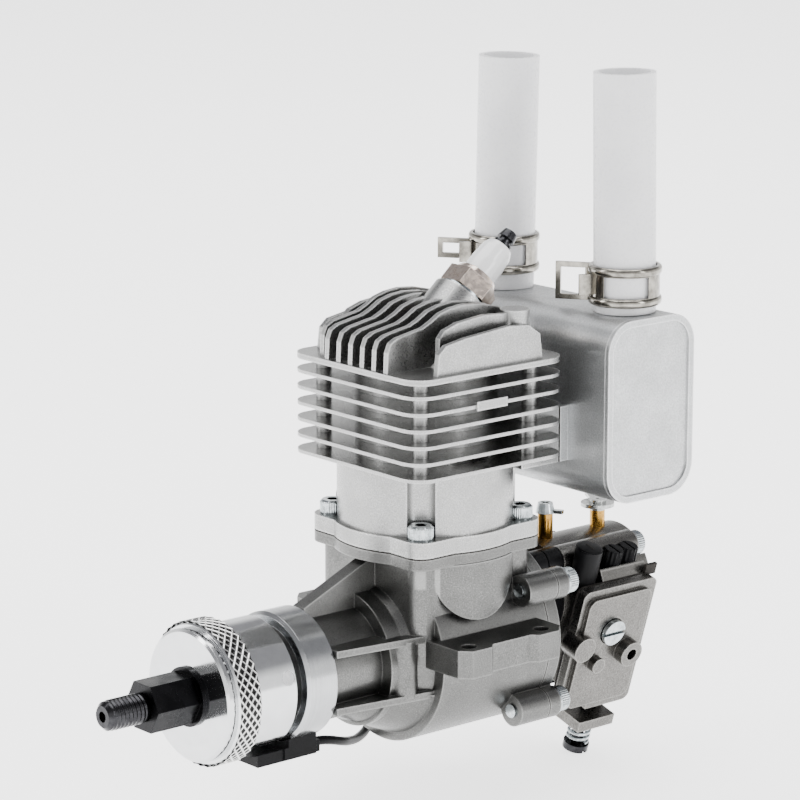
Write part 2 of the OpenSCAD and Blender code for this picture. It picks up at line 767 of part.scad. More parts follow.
module crankshaft() {
    cheek = crankpin_d / 2 + 7;
    color("darkgray") difference() {
        union() {
            difference() {
                bar_y(web_front, web_rear, web_radius);
                // Cheeks cut away beside the crankpin, so the lower half balances it
                for (s = [0, 1]) mirror([s, 0, 0])
                    block([cheek, web_front - cut, 1], [web_radius + cut, web_rear + cut,
                        web_radius + cut]);
            }
            bar_y(rear_race_y1, web_front + cut, shaft_rear_d / 2 + 2);
            bar_y(rear_race_y0, rear_race_y1 + cut, shaft_rear_d / 2);
            bar_y(front_race_y1, rear_race_y0 + cut, mid_shaft_r);
            bar_y(hub_rear, front_race_y1 + cut, shaft_front_d / 2);
            bar_y(knurl_front, hub_rear + cut, shaft_hub_d / 2);
            bar_y(free_thread - cut, knurl_front + cut, thread_d / 2 - nut_relief);
            bar_y(shaft_tip + 1, free_thread, thread_d / 2);
            bar_y(shaft_tip, shaft_tip + 1, thread_d / 2 - 1, thread_d / 2);
        }
        translate([0, 0, throw_r]) bar_y(web_front - cut, web_rear + cut, crankpin_d / 2);
        bar_y(shaft_tip - cut, shaft_tip + 3, 1.5);
        key_slot(0.03);
    }
}

// Seat of the drive key between shaft and hub
module key_slot(gap) {
    block([-1.5 - gap, knurl_rear - 2 - gap, shaft_hub_d / 2 - 1.6 - gap],
        [1.5 + gap, knurl_rear + 8 + gap, shaft_hub_d / 2 + 1.4 + gap]);
}

module drive_key() {
    color("darkgray") key_slot(0);
}

module race_pair(y0, y1, r_in, r_out, ball_r, inner) {
    mid_r = (r_in + r_out) / 2;
    difference() {
        if (inner) ring_y(y0, y1, mid_r - ball_r * 0.45, r_in + 0.01);
        else ring_y(y0, y1, r_out, mid_r + ball_r * 0.45);
        translate([0, (y0 + y1) / 2, 0]) rotate([90, 0, 0]) rotate_extrude()
            translate([mid_r, 0]) circle(r = ball_r + 0.08);
    }
    if (inner) for (a = [0:45:315]) rotate([0, a, 0])
        translate([mid_r, (y0 + y1) / 2, 0]) sphere(r = ball_r);
}

module bearing_outer_races() {
    color("silver") {
        race_pair(rear_race_y0, rear_race_y1, shaft_rear_d / 2, rear_race_r, 2.6, false);
        race_pair(front_race_y0, front_race_y1, shaft_front_d / 2, front_race_r, 1.8, false);
    }
}

module bearing_inner_races() {
    color("silver") {
        race_pair(rear_race_y0, rear_race_y1, shaft_rear_d / 2, rear_race_r, 2.6, true);
        race_pair(front_race_y0, front_race_y1, shaft_front_d / 2, front_race_r, 1.8, true);
    }
}

module shaft_seal() {
    color("black") ring_y(seal_y0, seal_y1, front_race_r, mid_shaft_r + 0.06);
}

module prop_hub() {
    color("gainsboro") difference() {
        rotate([-90, 0, 0]) rotate_extrude() polygon([
            [shaft_hub_d / 2 + 0.02, knurl_front], [knurl_d / 2 - 0.6, knurl_front], [knurl_d / 2,
            knurl_front + 0.6],
            [knurl_d / 2, knurl_rear - 0.6], [hub_d / 2, knurl_rear], [hub_d / 2, hub_rear - 0.4],
            [hub_d / 2 - 0.4, hub_rear], [shaft_front_d / 2 + 2, hub_rear],
            [shaft_front_d / 2 + 2, front_race_y0], [shaft_front_d / 2 + 0.02, front_race_y0],
            [shaft_front_d / 2 + 0.02, hub_rear], [shaft_hub_d / 2 + 0.02, hub_rear]
        ]);
        key_slot(0.03);
        on_magnet_axis() translate([0, 0, hub_d / 2 - 4]) cylinder(h = 6, r = magnet_d / 2 + fit_gap);
    }
}

module on_magnet_axis() {
    translate([0, magnet_y, 0]) rotate([0, 90 - magnet_angle, 0]) children();
}

module timing_magnet() {
    color("whitesmoke") on_magnet_axis() translate([0, 0, hub_d / 2 - 4]) cylinder(h = 3.9,
        r = magnet_d / 2);
}

module prop_washer() {
    color("gainsboro") rotate([-90, 0, 0]) rotate_extrude() polygon([
        [thread_d / 2 + 0.05, washer_front], [washer_d / 2 - 0.8, washer_front],
        [washer_d / 2, washer_front + 0.6], [washer_d / 2, knurl_front], [thread_d / 2 + 0.05, knurl_front]
    ]);
}

module thread_nut(front, collar) {
    rear = front + nut_height;
    difference() {
        union() {
            translate([0, front, 0]) rotate([-90, 0, 0]) hex_bar(nut_flats, nut_height - collar);
            if (collar > 0) bar_y(rear - collar, rear, nut_flats / 2 + 1.8);
        }
        bar_y(front - cut, rear + cut, thread_d / 2 + fit_gap);
    }
}

module prop_nut() {
    color("#202020") thread_nut(nut_front, 1);
}

module lock_nut() {
    color("#202020") thread_nut(lock_front, 0);
}

module sensor_ring() {
    ring_r = ring_d / 2;
    color("gainsboro") rotate([-90, 0, 0]) rotate_extrude() polygon([
        [spigot_nose_r + fit_gap, ring_front], [ring_r - 0.9, ring_front], [ring_r, ring_front + 0.9],
        [ring_r, ring_rear - 0.4], [ring_r - 0.4, ring_rear], [spigot_nose_r + fit_gap, ring_rear]
    ]);
}

module sensor_module() {
    color("#181818") difference() {
        union() {
            block([-pod_half, ring_front - 1.4, pod_low], [pod_half, ring_rear - 0.6, pod_high]);
            block([foot_x0, magnet_y - 4, foot_low], [foot_x1, ring_front, foot_high]);
            block([gland_x0, ring_rear - 1, gland_low], [gland_x1, lead_y, gland_high]);
        }
        bar_y(ring_front, ring_rear + 5, ring_d / 2);
        bar_y(magnet_y - 12, ring_front + 0.05, max(hub_d, knurl_d) / 2 + 0.6);
    }
}

module sensor_lead() {
    color("#101010") {
        swept_tube(lead_points, lead_r, [1, 0, 0.2]);
        swept_tube(tail_points, lead_r, [1, 0.4, 0]);
    }
}

// The rest of the lead, wound into a flat bundle that stands on the far lug
module sensor_hank() {
    out_r = hank_r + lead_r;
    in_r = hank_r - lead_r;
    color("#101010") translate([hank_x - hank_width, 0, hank_mid]) rotate([90, 0, 90])
        linear_extrude(hank_width) difference() {
            round_rect(out_r, hank_run / 2 + out_r, out_r - 0.01);
            round_rect(in_r, hank_run / 2 + in_r, in_r - 0.01);
        }
}

// The three-way plug at the end of the lead
module sensor_plug() {
    color("#101010") difference() {
        block([tail_x - 1.5, tail_y - 3.8, lug_thick], [tail_x + 1.5, tail_y + 3.8, plug_top]);
        for (i = [-1:1]) translate([tail_x, tail_y + i * 2.54, lug_thick - cut]) cylinder(h = 7, r = 0.5);
    }
}

module rear_housing() {
    color("silver") difference() {
        bolt_plate(housing_y0, housing_y1, boss_r);
        translate([0, 0, intake_z]) bar_y(housing_y0 - cut, housing_y1 + cut, intake_r + 0.2);
        at_case_bolts() bar_y(housing_y0 - cut, housing_y1 + cut, m4_r + 0.1);
        at_carb_screws() bar_y(housing_y0 + 0.6, housing_y1 + cut, m4_r + fit_gap);
    }
}

module intake_gaskets() {
    color("dimgray") {
        difference() {
            bolt_plate(case_rear, housing_y0, boss_r - 0.1);
            bar_y(case_rear - cut, housing_y0 + cut, chamber_r);
            at_case_bolts() bar_y(case_rear - cut, housing_y0 + cut, m4_r + 0.2);
        }
        for (y = [housing_y1, insulator_mid, insulator_y1]) difference() {
            translate([0, 0, intake_z]) bar_y(y, y + gasket_thick, insulator_r - 0.2);
            translate([0, 0, intake_z]) bar_y(y - cut, y + cut, intake_r + 0.2);
            at_carb_screws() bar_y(y - cut, y + cut, m4_r + 0.2);
        }
    }
}

module rear_screws() {
    color("gainsboro") at_case_bolts() {
        cap_screw_y(housing_y1 + 1, housing_y1 + 1.6 - bolt_front);
        ring_y(housing_y1, housing_y1 + 1, m4_r + 2.2, m4_r - 0.1);
    }
}

// Wedge of the reed valve: a side outline from its mouth to its edge
module reed_wedge(x_half, mouth, edge, y_edge) {
    translate([-x_half, 0, intake_z]) rotate([90, 0, 90]) linear_extrude(2 * x_half) polygon([
        [housing_y0, -mouth], [housing_y0, mouth], [y_edge, edge], [y_edge, -edge]
    ]);
}

module reed_block() {
    color("dimgray") difference() {
        union() {
            reed_wedge(10.5, 9, 1.6, reed_edge);
            block([-12.5, housing_y0 - 1.8, intake_z - 11], [12.5, housing_y0, intake_z + 11]);
        }
        reed_wedge(9.3, 7.6, 0.2, reed_edge + 1.6);
        // Windows in both sloping sides
        for (x = [-5, 5]) translate([x, reed_edge + 7.2, intake_z]) cube([6.6, 7, 30], center = true);
    }
}

module reed_petals() {
    rise = atan((9 - 1.6) / (housing_y0 - reed_edge));
    color("black") for (s = [-1, 1]) for (x = [-5, 5])
        translate([x, reed_edge + 0.4, intake_z + s * (1.6 + 0.42)]) rotate([s * rise, 0, 0])
            translate([-4.4, 0, -0.15]) cube([8.8, 11.8, 0.3]);
}

module carb_insulator() {
    color("#151515") difference() {
        for (y = [[insulator_y0, insulator_mid], [insulator_mid + gasket_thick, insulator_y1]]) {
            translate([0, 0, intake_z]) bar_y(y[0], y[1], insulator_r);
            at_carb_screws() bar_y(y[0], y[1], m4_r + 2.3);
        }
        translate([0, 0, intake_z]) bar_y(insulator_y0 - cut, insulator_y1 + cut, intake_r + 0.2);
        at_carb_screws() bar_y(insulator_y0 - cut, insulator_y1 + cut, m4_r + 0.1);
    }
}

// Places children in the tilted frame of the fuel pump side
module pump_frame() {
    rotate([0, cover_tilt, 0]) children();
}

module carb_body() {
    color("silver") difference() {
        union() {
            translate([0, 0, intake_z]) bar_y(carb_y0, carb_y1, body_r);
            at_carb_screws() bar_y(carb_y0, ear_y1, m4_r + 2.3);
            pump_frame() {
                block([pump_in, pump_y0, pump_low], [pump_out, pump_y1, pump_high]);
                // Bracket of the idle screw
                block([9, idle_y + 2.6, idle_leg], [pump_out - 0.6, idle_y + 5, pump_low + 1]);
                block([9, idle_y - 9, idle_leg], [pump_out + 5, idle_y + 5, idle_leg + 3.4]);
            }
        }
        translate([0, 0, intake_z]) bar_y(carb_y0 - cut, carb_y1 + cut, intake_r);
        translate([0, 0, intake_z]) bar_y(carb_y1 - 2, carb_y1 + 0.01, intake_r, intake_r + 2);
        at_carb_screws() {
            bar_y(carb_y0 - cut, carb_y1 + cut, m4_r + 0.1);
            bar_y(ear_y1, carb_y1 + cut, m4_head_r + run_gap);
        }
        translate([0, throttle_y, -40]) cylinder(h = 80, r = spindle_r + fit_gap);
        translate([0, choke_y, intake_z - 19]) cylinder(h = 80, r = spindle_r + fit_gap);
        pump_frame() {
            translate([boot_x, boot_y, pump_high]) cylinder(h = 20, r = boot_r + 0.25);
            for (y = needle_y) translate([needle_x, y, 2]) cylinder(h = 40, r = needle_r + 0.25);
            translate([idle_x, idle_y, idle_leg - cut]) cylinder(h = 6, r = idle_r + fit_gap);
            translate([0, cover_screw_y, cover_screw_z]) bar_x(pump_out - 6, pump_out + cut,
                m4_r + fit_gap);
        }
    }
}

module carb_screws() {
    color("gainsboro") at_carb_screws() cap_screw_y(ear_y1, ear_y1 - housing_y0 - 1);
}

// A brass spindle with the slot that holds its butterfly
module spindle(low, top, along_bore) {
    difference() {
        translate([0, 0, low]) cylinder(h = top - low, r = spindle_r);
        translate([0, 0, intake_z]) rotate([0, 0, along_bore ? 90 : 0])
            cube([2 * spindle_r + 2, 1.04, 2 * plate_r + 0.1], center = true);
    }
}

module throttle_shaft() {
    color("goldenrod") translate([0, throttle_y, 0]) spindle(lever_z - 1, spindle_top, false);
}

module throttle_plate() {
    color("gold") translate([0, throttle_y, intake_z]) bar_y(-0.5, 0.5, plate_r);
}

// A flat lever: a round eye and a straight arm with a round end
module lever(eye_r, arm, arm_r, thick, hole_r, turns = [0]) {
    difference() {
        union() {
            cylinder(h = thick, r = eye_r);
            for (turn = turns) rotate([0, 0, turn]) {
                translate([0, -arm_r, 0]) cube([arm, 2 * arm_r, thick]);
                translate([arm, 0, 0]) cylinder(h = thick, r = arm_r);
            }
        }
        translate([0, 0, -cut]) cylinder(h = thick + 2 * cut, r = hole_r);
        for (turn = turns) rotate([0, 0, turn]) translate([arm, 0, -cut])
            cylinder(h = thick + 2 * cut, r = link_hole_r);
    }
}

module throttle_lever() {
    color("gainsboro") translate([0, throttle_y, 0]) {
        translate([0, 0, lever_z]) lever(4.4, lever_arm, 2, 1.2, spindle_r + 0.01, [lever_angle,
            link_angle]);
        translate([0, 0, spindle_top]) {
            difference() {
                cylinder(h = 3, r1 = 2.9, r2 = 2.2);
                translate([0, 0, 3]) cube([3.4, 0.8, 2], center = true);
                translate([0, 0, 3]) cube([0.8, 3.4, 2], center = true);
            }
            rotate([0, 0, 30]) translate([0, -0.9, 0]) cube([5.4, 1.8, 1]);
        }
    }
}

module choke_shaft() {
    color("goldenrod") translate([0, choke_y, 0]) {
        spindle(intake_z - 18, spindle_top - 1.4, true);
        translate([0, 0, spindle_top - 1.4]) cylinder(h = 1.1, r = 5);
        translate([0, 0, spindle_top - 0.3]) rotate([0, 0, 150]) lever(2.6, 9, 1.8, 1, 0.5);
    }
}

module choke_plate() {
    color("gold") translate([0, choke_y, intake_z]) bar_x(-0.5, 0.5, plate_r);
}

module cover_outline() {
    difference() {
        translate([cover_mid_y, cover_mid_z])
            round_rect((pump_y1 - pump_y0) / 2 + 0.8, (cover_high - cover_low) / 2, 2.4);
        // Room in front of the throttle's arm
        translate([pump_y0 - 2, cover_low - 1]) square([13, pump_low - 2.6 - cover_low]);
    }
}

// Extrudes an outline given as y and tilted height, outwards from a face at x
module on_pump_face(x, thick) {
    pump_frame() translate([x, 0, 0]) rotate([90, 0, 90]) linear_extrude(thick) children();
}

module pump_gasket() {
    color("#202020") on_pump_face(pump_out, gasket_x) difference() {
        cover_outline();
        translate([cover_screw_y, cover_screw_z]) circle(r = m4_r + 0.2);
    }
}

module pump_cover() {
    face = pump_out + gasket_x;
    color("silver") difference() {
        union() {
            on_pump_face(face, cover_thick - 1.2) cover_outline();
            on_pump_face(face + cover_thick - 1.2, 1.2)
                translate([cover_mid_y, cover_mid_z]) round_rect(raised_half_y, raised_half_z, 3);
            pump_frame() translate([0, inlet_y, inlet_z]) bar_x(face, face + cover_thick + 3.4,
                cover_boss_r);
            pump_frame() {
                translate([0, boss_y, boss_z]) bar_x(face, face + cover_thick + 2.2, cover_boss_r);
                translate([0, dowel_y, dowel_z]) bar_x(face, face + cover_thick + 2.6, dowel_r);
            }
        }
        pump_frame() {
            translate([0, cover_screw_y, cover_screw_z]) bar_x(face - cut, face + cover_thick + 4,
                m4_r + 0.1);
            translate([0, cover_screw_y, cover_screw_z]) bar_x(face + cover_thick - 0.6,
                face + cover_thick + 4, 4.3);
            translate([0, inlet_y, inlet_z]) bar_x(face + 1, face + cover_thick + 6, 1.8);
        }
    }
}

module cover_screw() {
    face = pump_out + gasket_x + cover_thick - 0.6;
    color("gainsboro") pump_frame() translate([0, cover_screw_y, cover_screw_z]) difference() {
        union() {
            bar_x(pump_out - 5, face + 0.5, m4_r);
            bar_x(face, face + 2.2, 4);
        }
        translate([face + 2.2, 0, 0]) cube([2, 9, 1], center = true);
    }
}

module metering_cover() {
    color("silver") {
        on_pump_face(pump_in - meter_thick, meter_thick) translate([cover_mid_y, meter_mid_z])
            round_rect(meter_half_y, meter_half_z, 3);
        pump_frame() translate([0, cover_mid_y, meter_mid_z]) bar_x(meter_out,
            pump_in - meter_thick + 0.1, meter_dome_r);
        for (sy = [-1, 1], sz = [-1, 1]) pump_frame()
            translate([0, cover_mid_y + sy * meter_screw_y, meter_mid_z + sz * meter_screw_z])
                bar_x(meter_out, pump_in - meter_thick + 0.1, meter_screw_r);
    }
}

module needle(y) {
    pump_frame() translate([needle_x, y, 0]) difference() {
        union() {
            translate([0, 0, 3]) cylinder(h = 10, r = 1.2);
            translate([0, 0, 12]) cylinder(h = needle_top - 12, r = needle_r);
        }
        translate([0, 0, needle_top]) cube([6, 0.7, 1.6], center = true);
    }
}

module needle_high() {
    color("#303030") needle(needle_y[0]);
}

module needle_low() {
    color("#303030") needle(needle_y[1]);
}

module needle_boot() {
    color("#101010") pump_frame() translate([boot_x, boot_y, pump_high]) difference() {
        cylinder(h = 13.6, r = boot_r);
        translate([0, 0, 12.4]) cylinder(h = 3, r = boot_r - 1.4);
    }
}

module idle_screw() {
    low = idle_leg - 9.6;
    color("gainsboro") pump_frame() translate([idle_x, idle_y, 0]) difference() {
        union() {
            translate([0, 0, low]) cylinder(h = cover_low - low - 0.4, r = idle_r);
            translate([0, 0, low - 2]) cylinder(h = 2.2, r = 3.9);
        }
        translate([0, 0, low - 2]) cube([9, 0.9, 1.6], center = true);
    }
}

module idle_spring() {
    color("gray") pump_frame() translate([idle_x, idle_y, idle_leg - 9.3]) coil_spring(3.1, 0.55, 9, 4.5);
}

module exhaust_gasket() {
    color("#303030") difference() {
        block([-21.5, exhaust_face, exhaust_mid - 8], [21.5, exhaust_face + exhaust_seal, exhaust_mid + 8]);
        block([-8.2, exhaust_face - cut, exhaust_mid - 5.2], [8.2, exhaust_face + 2, exhaust_mid + 4.2]);
        for (s = [-1, 1]) translate([s * silencer_screw_x, 0, exhaust_mid])
            bar_y(exhaust_face - cut, exhaust_face + 2, m4_r + 0.2);
    }
}

// Outline of the silencer box, as y and z
module box_outline(inset) {
    translate([box_mid_y, (box_low + box_top) / 2])
        round_rect(box_depth / 2 - inset, box_height / 2 - inset, box_corner - inset);
}

module along_box(x0, x1) {
    translate([x0, 0, 0]) rotate([90, 0, 90]) linear_extrude(x1 - x0) children();
}

module muffler_body() {
    flange_y0 = exhaust_face + exhaust_seal;
    color("lightgray") difference() {
        union() {
            difference() {
                along_box(-box_half + 1.4, box_half - 1.4) box_outline(0);
                along_box(-box_half, box_half) box_outline(box_wall);
            }
            block([-21.5, flange_y0, exhaust_mid - 8], [21.5, box_front + box_wall / 2, exhaust_mid + 8]);
            for (s = [-1, 1]) {
                translate([s * silencer_screw_x, 0, exhaust_mid]) bar_y(box_front,
                    box_rear - box_wall / 2, m4_r + 1.6);
                translate([s * outlet_x, outlet_y, box_top - 24]) cylinder(h = 24 + stub_height,
                    r = stub_r);
            }
        }
        block([-8, flange_y0 - cut, exhaust_mid - 5], [8, box_front + box_wall + cut, exhaust_mid + 4]);
        for (s = [-1, 1]) {
            translate([s * silencer_screw_x, 0, exhaust_mid]) bar_y(flange_y0 - cut,
                box_rear + cut, m4_r + 0.1);
            translate([s * outlet_x, outlet_y, box_top - 25]) cylinder(h = 27 + stub_height,
                r = stub_r - 1);
        }
    }
}

module muffler_caps() {
    color("lightgray") for (s = [0, 1]) mirror([s, 0, 0]) {
        along_box(box_half - 1.4, box_half - 0.6) box_outline(0);
        along_box(box_half - 0.7, box_half) difference() {
            box_outline(0);
            box_outline(2);
        }
        along_box(box_half - 2.2, box_half - 1.3) box_outline(box_wall + 0.05);
    }
}

module muffler_screws() {
    color("gainsboro") for (s = [-1, 1]) translate([s * silencer_screw_x, 0, exhaust_mid])
        cap_screw_y(box_rear, box_rear - exhaust_face + 6);
}

module outlet_tube(side) {
    color("white") translate([side * outlet_x, outlet_y, box_top + 0.2]) rotate([side * 0.5,
        side > 0 ? -0.6 : 0.9, 0])
        difference() {
            cylinder(h = tube_length, r = tube_d / 2);
            translate([0, 0, -cut]) cylinder(h = tube_length + 2 * cut, r = tube_d / 2 - tube_wall);
        }
}

module outlet_tube_right() {
    outlet_tube(1);
}

module outlet_tube_left() {
    outlet_tube(-1);
}

// A spring band round the tube with its two squeeze handles
module tube_clamp(side, low, turn, grip) {
    in_r = tube_d / 2 + 0.25;
    color("tan") translate([side * outlet_x, outlet_y, box_top + low]) rotate([0, 0, turn]) {
        difference() {
            cylinder(h = clamp_width, r = in_r + 0.8);
            translate([0, 0, -cut]) cylinder(h = clamp_width + 2 * cut, r = in_r);
            // Window between the two rails of the band
            rotate([0, 0, 104]) block([0, -clamp_window / 2, clamp_rail], [in_r + 2,
                clamp_window / 2, clamp_width - clamp_rail]);
        }
        // Loop for the pliers, and the tongue that it is squeezed against
        translate([0, 0, (clamp_width - grip) / 2]) difference() {
            block([in_r + 0.4, -1, 0], [in_r + clamp_grip, 0.2, grip]);
            block([in_r + 2.4, -2, 1.5], [in_r + clamp_grip - 1.5, 2, grip - 1.5]);
        }
        rotate([0, 0, 28]) block([in_r + 0.4, -0.6, clamp_rail], [in_r + 4.4, 0.2,
            clamp_width - clamp_rail]);
    }
}

module tube_clamp_right() {
    tube_clamp(1, 2.4, 215, clamp_width - 0.4);
}

module tube_clamp_left() {
    tube_clamp(-1, 4.8, 215, 6);
}

crankcase();
base_gasket();
cylinder_part();  // cylinder
cylinder_screws();
plug_shell();
plug_washer();
plug_insulator();
plug_terminal();
piston();
piston_ring();
wrist_pin();
wrist_clips();
connecting_rod();
rod_bearings();
crankpin();
crankshaft();
bearing_outer_races();
bearing_inner_races();
shaft_seal();
prop_hub();
drive_key();
timing_magnet();
prop_washer();
prop_nut();
lock_nut();
sensor_ring();
sensor_module();
sensor_lead();
sensor_hank();
sensor_plug();
rear_housing();
intake_gaskets();
rear_screws();
reed_block();
reed_petals();
carb_insulator();
carb_body();
carb_screws();
throttle_shaft();
throttle_lever();
throttle_plate();
choke_shaft();
choke_plate();
pump_gasket();
pump_cover();
cover_screw();
metering_cover();
needle_high();
needle_low();
needle_boot();
idle_screw();
idle_spring();
exhaust_gasket();
muffler_body();
muffler_caps();
muffler_screws();
outlet_tube_right();
outlet_tube_left();
tube_clamp_right();
tube_clamp_left();
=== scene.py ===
import json
import math

import bpy
from mathutils import Matrix, Vector


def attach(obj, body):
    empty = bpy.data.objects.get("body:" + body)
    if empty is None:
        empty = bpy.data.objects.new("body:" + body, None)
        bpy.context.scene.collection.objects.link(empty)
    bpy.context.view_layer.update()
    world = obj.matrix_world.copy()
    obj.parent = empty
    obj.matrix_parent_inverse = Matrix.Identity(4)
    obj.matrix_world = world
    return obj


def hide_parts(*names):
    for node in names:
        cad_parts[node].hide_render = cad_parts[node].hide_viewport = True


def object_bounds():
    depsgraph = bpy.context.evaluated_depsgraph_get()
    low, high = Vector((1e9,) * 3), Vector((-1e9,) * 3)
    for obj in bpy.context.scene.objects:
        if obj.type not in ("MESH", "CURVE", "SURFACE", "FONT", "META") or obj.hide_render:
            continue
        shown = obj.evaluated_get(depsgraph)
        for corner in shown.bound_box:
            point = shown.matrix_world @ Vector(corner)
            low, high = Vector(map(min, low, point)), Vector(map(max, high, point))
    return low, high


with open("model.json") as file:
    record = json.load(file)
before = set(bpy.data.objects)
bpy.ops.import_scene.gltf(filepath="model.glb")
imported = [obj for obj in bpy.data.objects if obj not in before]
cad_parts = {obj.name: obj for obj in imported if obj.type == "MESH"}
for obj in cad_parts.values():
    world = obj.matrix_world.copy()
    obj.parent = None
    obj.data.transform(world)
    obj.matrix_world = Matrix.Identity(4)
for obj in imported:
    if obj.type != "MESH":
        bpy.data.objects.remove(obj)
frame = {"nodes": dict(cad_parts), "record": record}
cad_low, cad_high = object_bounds()
nodes_by_name = frame["nodes"]

MM = 0.001
FULL = 2 * math.pi

# Camera at the photograph's viewpoint, in metres
CAMERA_PLACE = (0.7076, -0.6066, 0.2793)
CAMERA_RIGHT = (0.6448, 0.7643, 0.0)
CAMERA_UP = (-0.1676, 0.1414, 0.9756)
CAMERA_LENS = 152.66

# The sizes and places below are in millimetres, unless a comment says metres.

# Route of the sensor's lead: the free stretch, the bundle and the tail
LEAD_D = 2.6
LEAD_ROUTE = [
    (2, -43.5, -21.2), (2, -40, -21.5), (1.4, -36, -22.5), (-0.4, -31, -24.3), (-4, -25, -26.4),
    (-8.4, -18, -27.9), (-13, -11, -27.5), (-18, -5, -24.9), (-23, 2, -20.5), (-27.2, 9, -14.6),
    (-30, 15, -9.6), (-30.8, 19.3, -5.6), (-31.2, 22.6, -2.8), (-31.2, 24.4, 1), (-30.8, 24, 5),
    (-30, 21.6, 8.6), (-29, 18.3, 10.1), (-28.5, 15.3, 10.3), (-28.5, 11, 10), (-29, 7.4, 9.8),
    (-29.3, 3.6, 9.5),
]
HANK_R = 5.3
HANK_RUN = 22
HANK_MID = 25.6
HANK_LAYERS = (-29.25, -31.95)
HANK_STEP = 2.8
HANK_OVERRUN = 1
HANK_QUARTER = math.pi * HANK_R / 2
HANK_LOOP = 2 * HANK_RUN + 4 * HANK_QUARTER
TAIL_ROUTE = [(-33.6, 5.2, 32.6), (-34.8, 5, 28.8), (-35.1, 4.8, 25), (-35.1, 4.8, 21.6)]

# Tie round the bundle
TIE_X = (-33.5, -27.7)
TIE_MARGIN = 1.5
TIE_HALF_HEIGHT = 1.4
TIE_RIM = 0.5
TIE_CORNER = 1
TIE_CORNER_STEPS = 3

# Cap screws: seats of the heads, as place and direction, and the heads' ribbed rim
CYLINDER_SEATS = [((x, y, 36.5), (0, 0, 1)) for x in (-19.3, 19.3) for y in (-18.4, 18.4)]
CASE_SEATS = [
    ((side * x, 29, z), (0, 1, 0)) for x, z in ((25.5, 17.1), (22.5, -18.9)) for side in (-1, 1)
]
CARB_SEATS = [((side * 10.5, 69.9, 7 + side * 11), (0, 1, 0)) for side in (-1, 1)]
SILENCER_SEATS = [((side * 17, 68, 59), (0, 1, 0)) for side in (-1, 1)]
HEAD_OUTLINE = [(3.4, 0.35), (3.5, 0.35), (3.5, 3.3), (3.3, 3.45)]
HEAD_RIBS = 36
HEAD_RIB_DEPTH = 0.16

# Knurled rim of the drive hub, from front to rear along y; between the two shares of its
# depth the painted shade of the pits gives way to the bright ridges
KNURL_FRONT = -81.8
KNURL_REAR = -74.9
KNURL_R = 19.81
KNURL_DEPTH = 0.42
KNURL_AROUND = 84
KNURL_ALONG = 6
KNURL_PIT_SHADE_SHARES = (0.62, 0.86)

# Thread of the shaft's free end; its ridge rises from inside the shaft, a share of its depth
# below the surface, the root
THREAD_R = 4
THREAD_TIP = -111.7
THREAD_END = -100.3
THREAD_PITCH = 1.25
THREAD_DEPTH = 0.28
THREAD_ROOT = 0.25

# Hose clamps, each with its name, x and lower edge, and the profile of their rolled rims,
# outwards and up
CLAMP_Y = 52.15
CLAMP_R = 9.94
CLAMP_WIDTH = 11.2
CLAMPS = [("clamp_rails_right", 25.7, 95.1), ("clamp_rails_left", -25.7, 97.5)]
RAIL_PROFILE = [(0, 0), (0.4, 0.25), (0.6, 0.8), (0.6, 1.6), (0.4, 2.15), (0, 2.4)]
RAIL_INSET = 0.05
RAIL_SIDES = 96

# Bulges over the transfer passages, on both sides of the case
BULGE_Y = -2.5
BULGE_HALF = 13.4
BULGE_MID_Z = 25.5
BULGE_TOP = 28.6
BULGE_R = 26.9
BULGE_INNER = 20

# Pump side, whose frame is tilted about y: outlines are x and z, ends are along y
PUMP_TILT = math.radians(17)
PUMP_UP = (math.sin(PUMP_TILT), 0, math.cos(PUMP_TILT))
LEDGE_OUTLINE = [(13.4, 10.6), (16.3, 10.6), (16.3, 16.4), (13.4, 20)]
LEDGE_ENDS = (50.6, 68.2)
TAB_OUTLINE = [(15.9, 16.8), (16.9, 16.8), (16.9, 20.2), (15.9, 20.2)]
TAB_ENDS = (66.2, 70.6)
LID_PLACE = (11.8, 45.8, 27.3)
LID_OUTLINE = [(3.7, 0), (3.7, 0.3), (3.3, 0.45), (0.02, 0.5)]
LID_SIDES = 40
SLIT_OUTLINE = [(10.2, 27.7), (13.4, 27.7), (13.4, 27.86), (10.2, 27.86)]
SLIT_ENDS = (45.6, 46)
NEEDLE_X = 10.6
GRIP_OUTLINE = [(2.58, 17), (2.66, 17.1), (2.66, 23.8), (2.5, 24.1)]
GRIP_RIBS = 14
GRIP_RIB_DEPTH = 0.26

# Height at which the choke's brass spindle meets its plated top, and half the blend's width
CHOKE_TOP = 26.9
CHOKE_BLEND = 0.05

# Studio, in metres and watts
FLOOR_HALF = 6
FLOOR_DROP = 0.0002
FLOOR_LIGHT = (0.93, 0.93, 0.93)
FLOOR_DARK = (0.91, 0.91, 0.91)
FLOOR_GLOW = 2.1
LIGHT_TARGET = (0, 0, 0.03)
SOFTBOXES = [
    ("top_softbox", (-0.2, 0.1, 2), (2, 2), 62),
    ("left_softbox", (-0.75, -1.25, 0.75), (0.35, 1), 9),
    ("right_softbox", (1.3, 0.35, 0.6), (0.3, 0.9), 6),
]
WORLD_STRENGTH = 1.7
WORLD_STOPS = [(0.28, (1, 1, 1, 1)), (0.5, (0.24, 0.24, 0.25, 1))]


def put(name, data):
    """Makes an object and links it to the scene."""
    thing = bpy.data.objects.new(name, data)
    bpy.context.scene.collection.objects.link(thing)
    return thing


def pump_point(x, y, z):
    """A point of the tilted pump side, in metres of the row frame."""
    c, s = math.cos(PUMP_TILT), math.sin(PUMP_TILT)
    return Vector((x * c + z * s, y, -x * s + z * c)) * MM


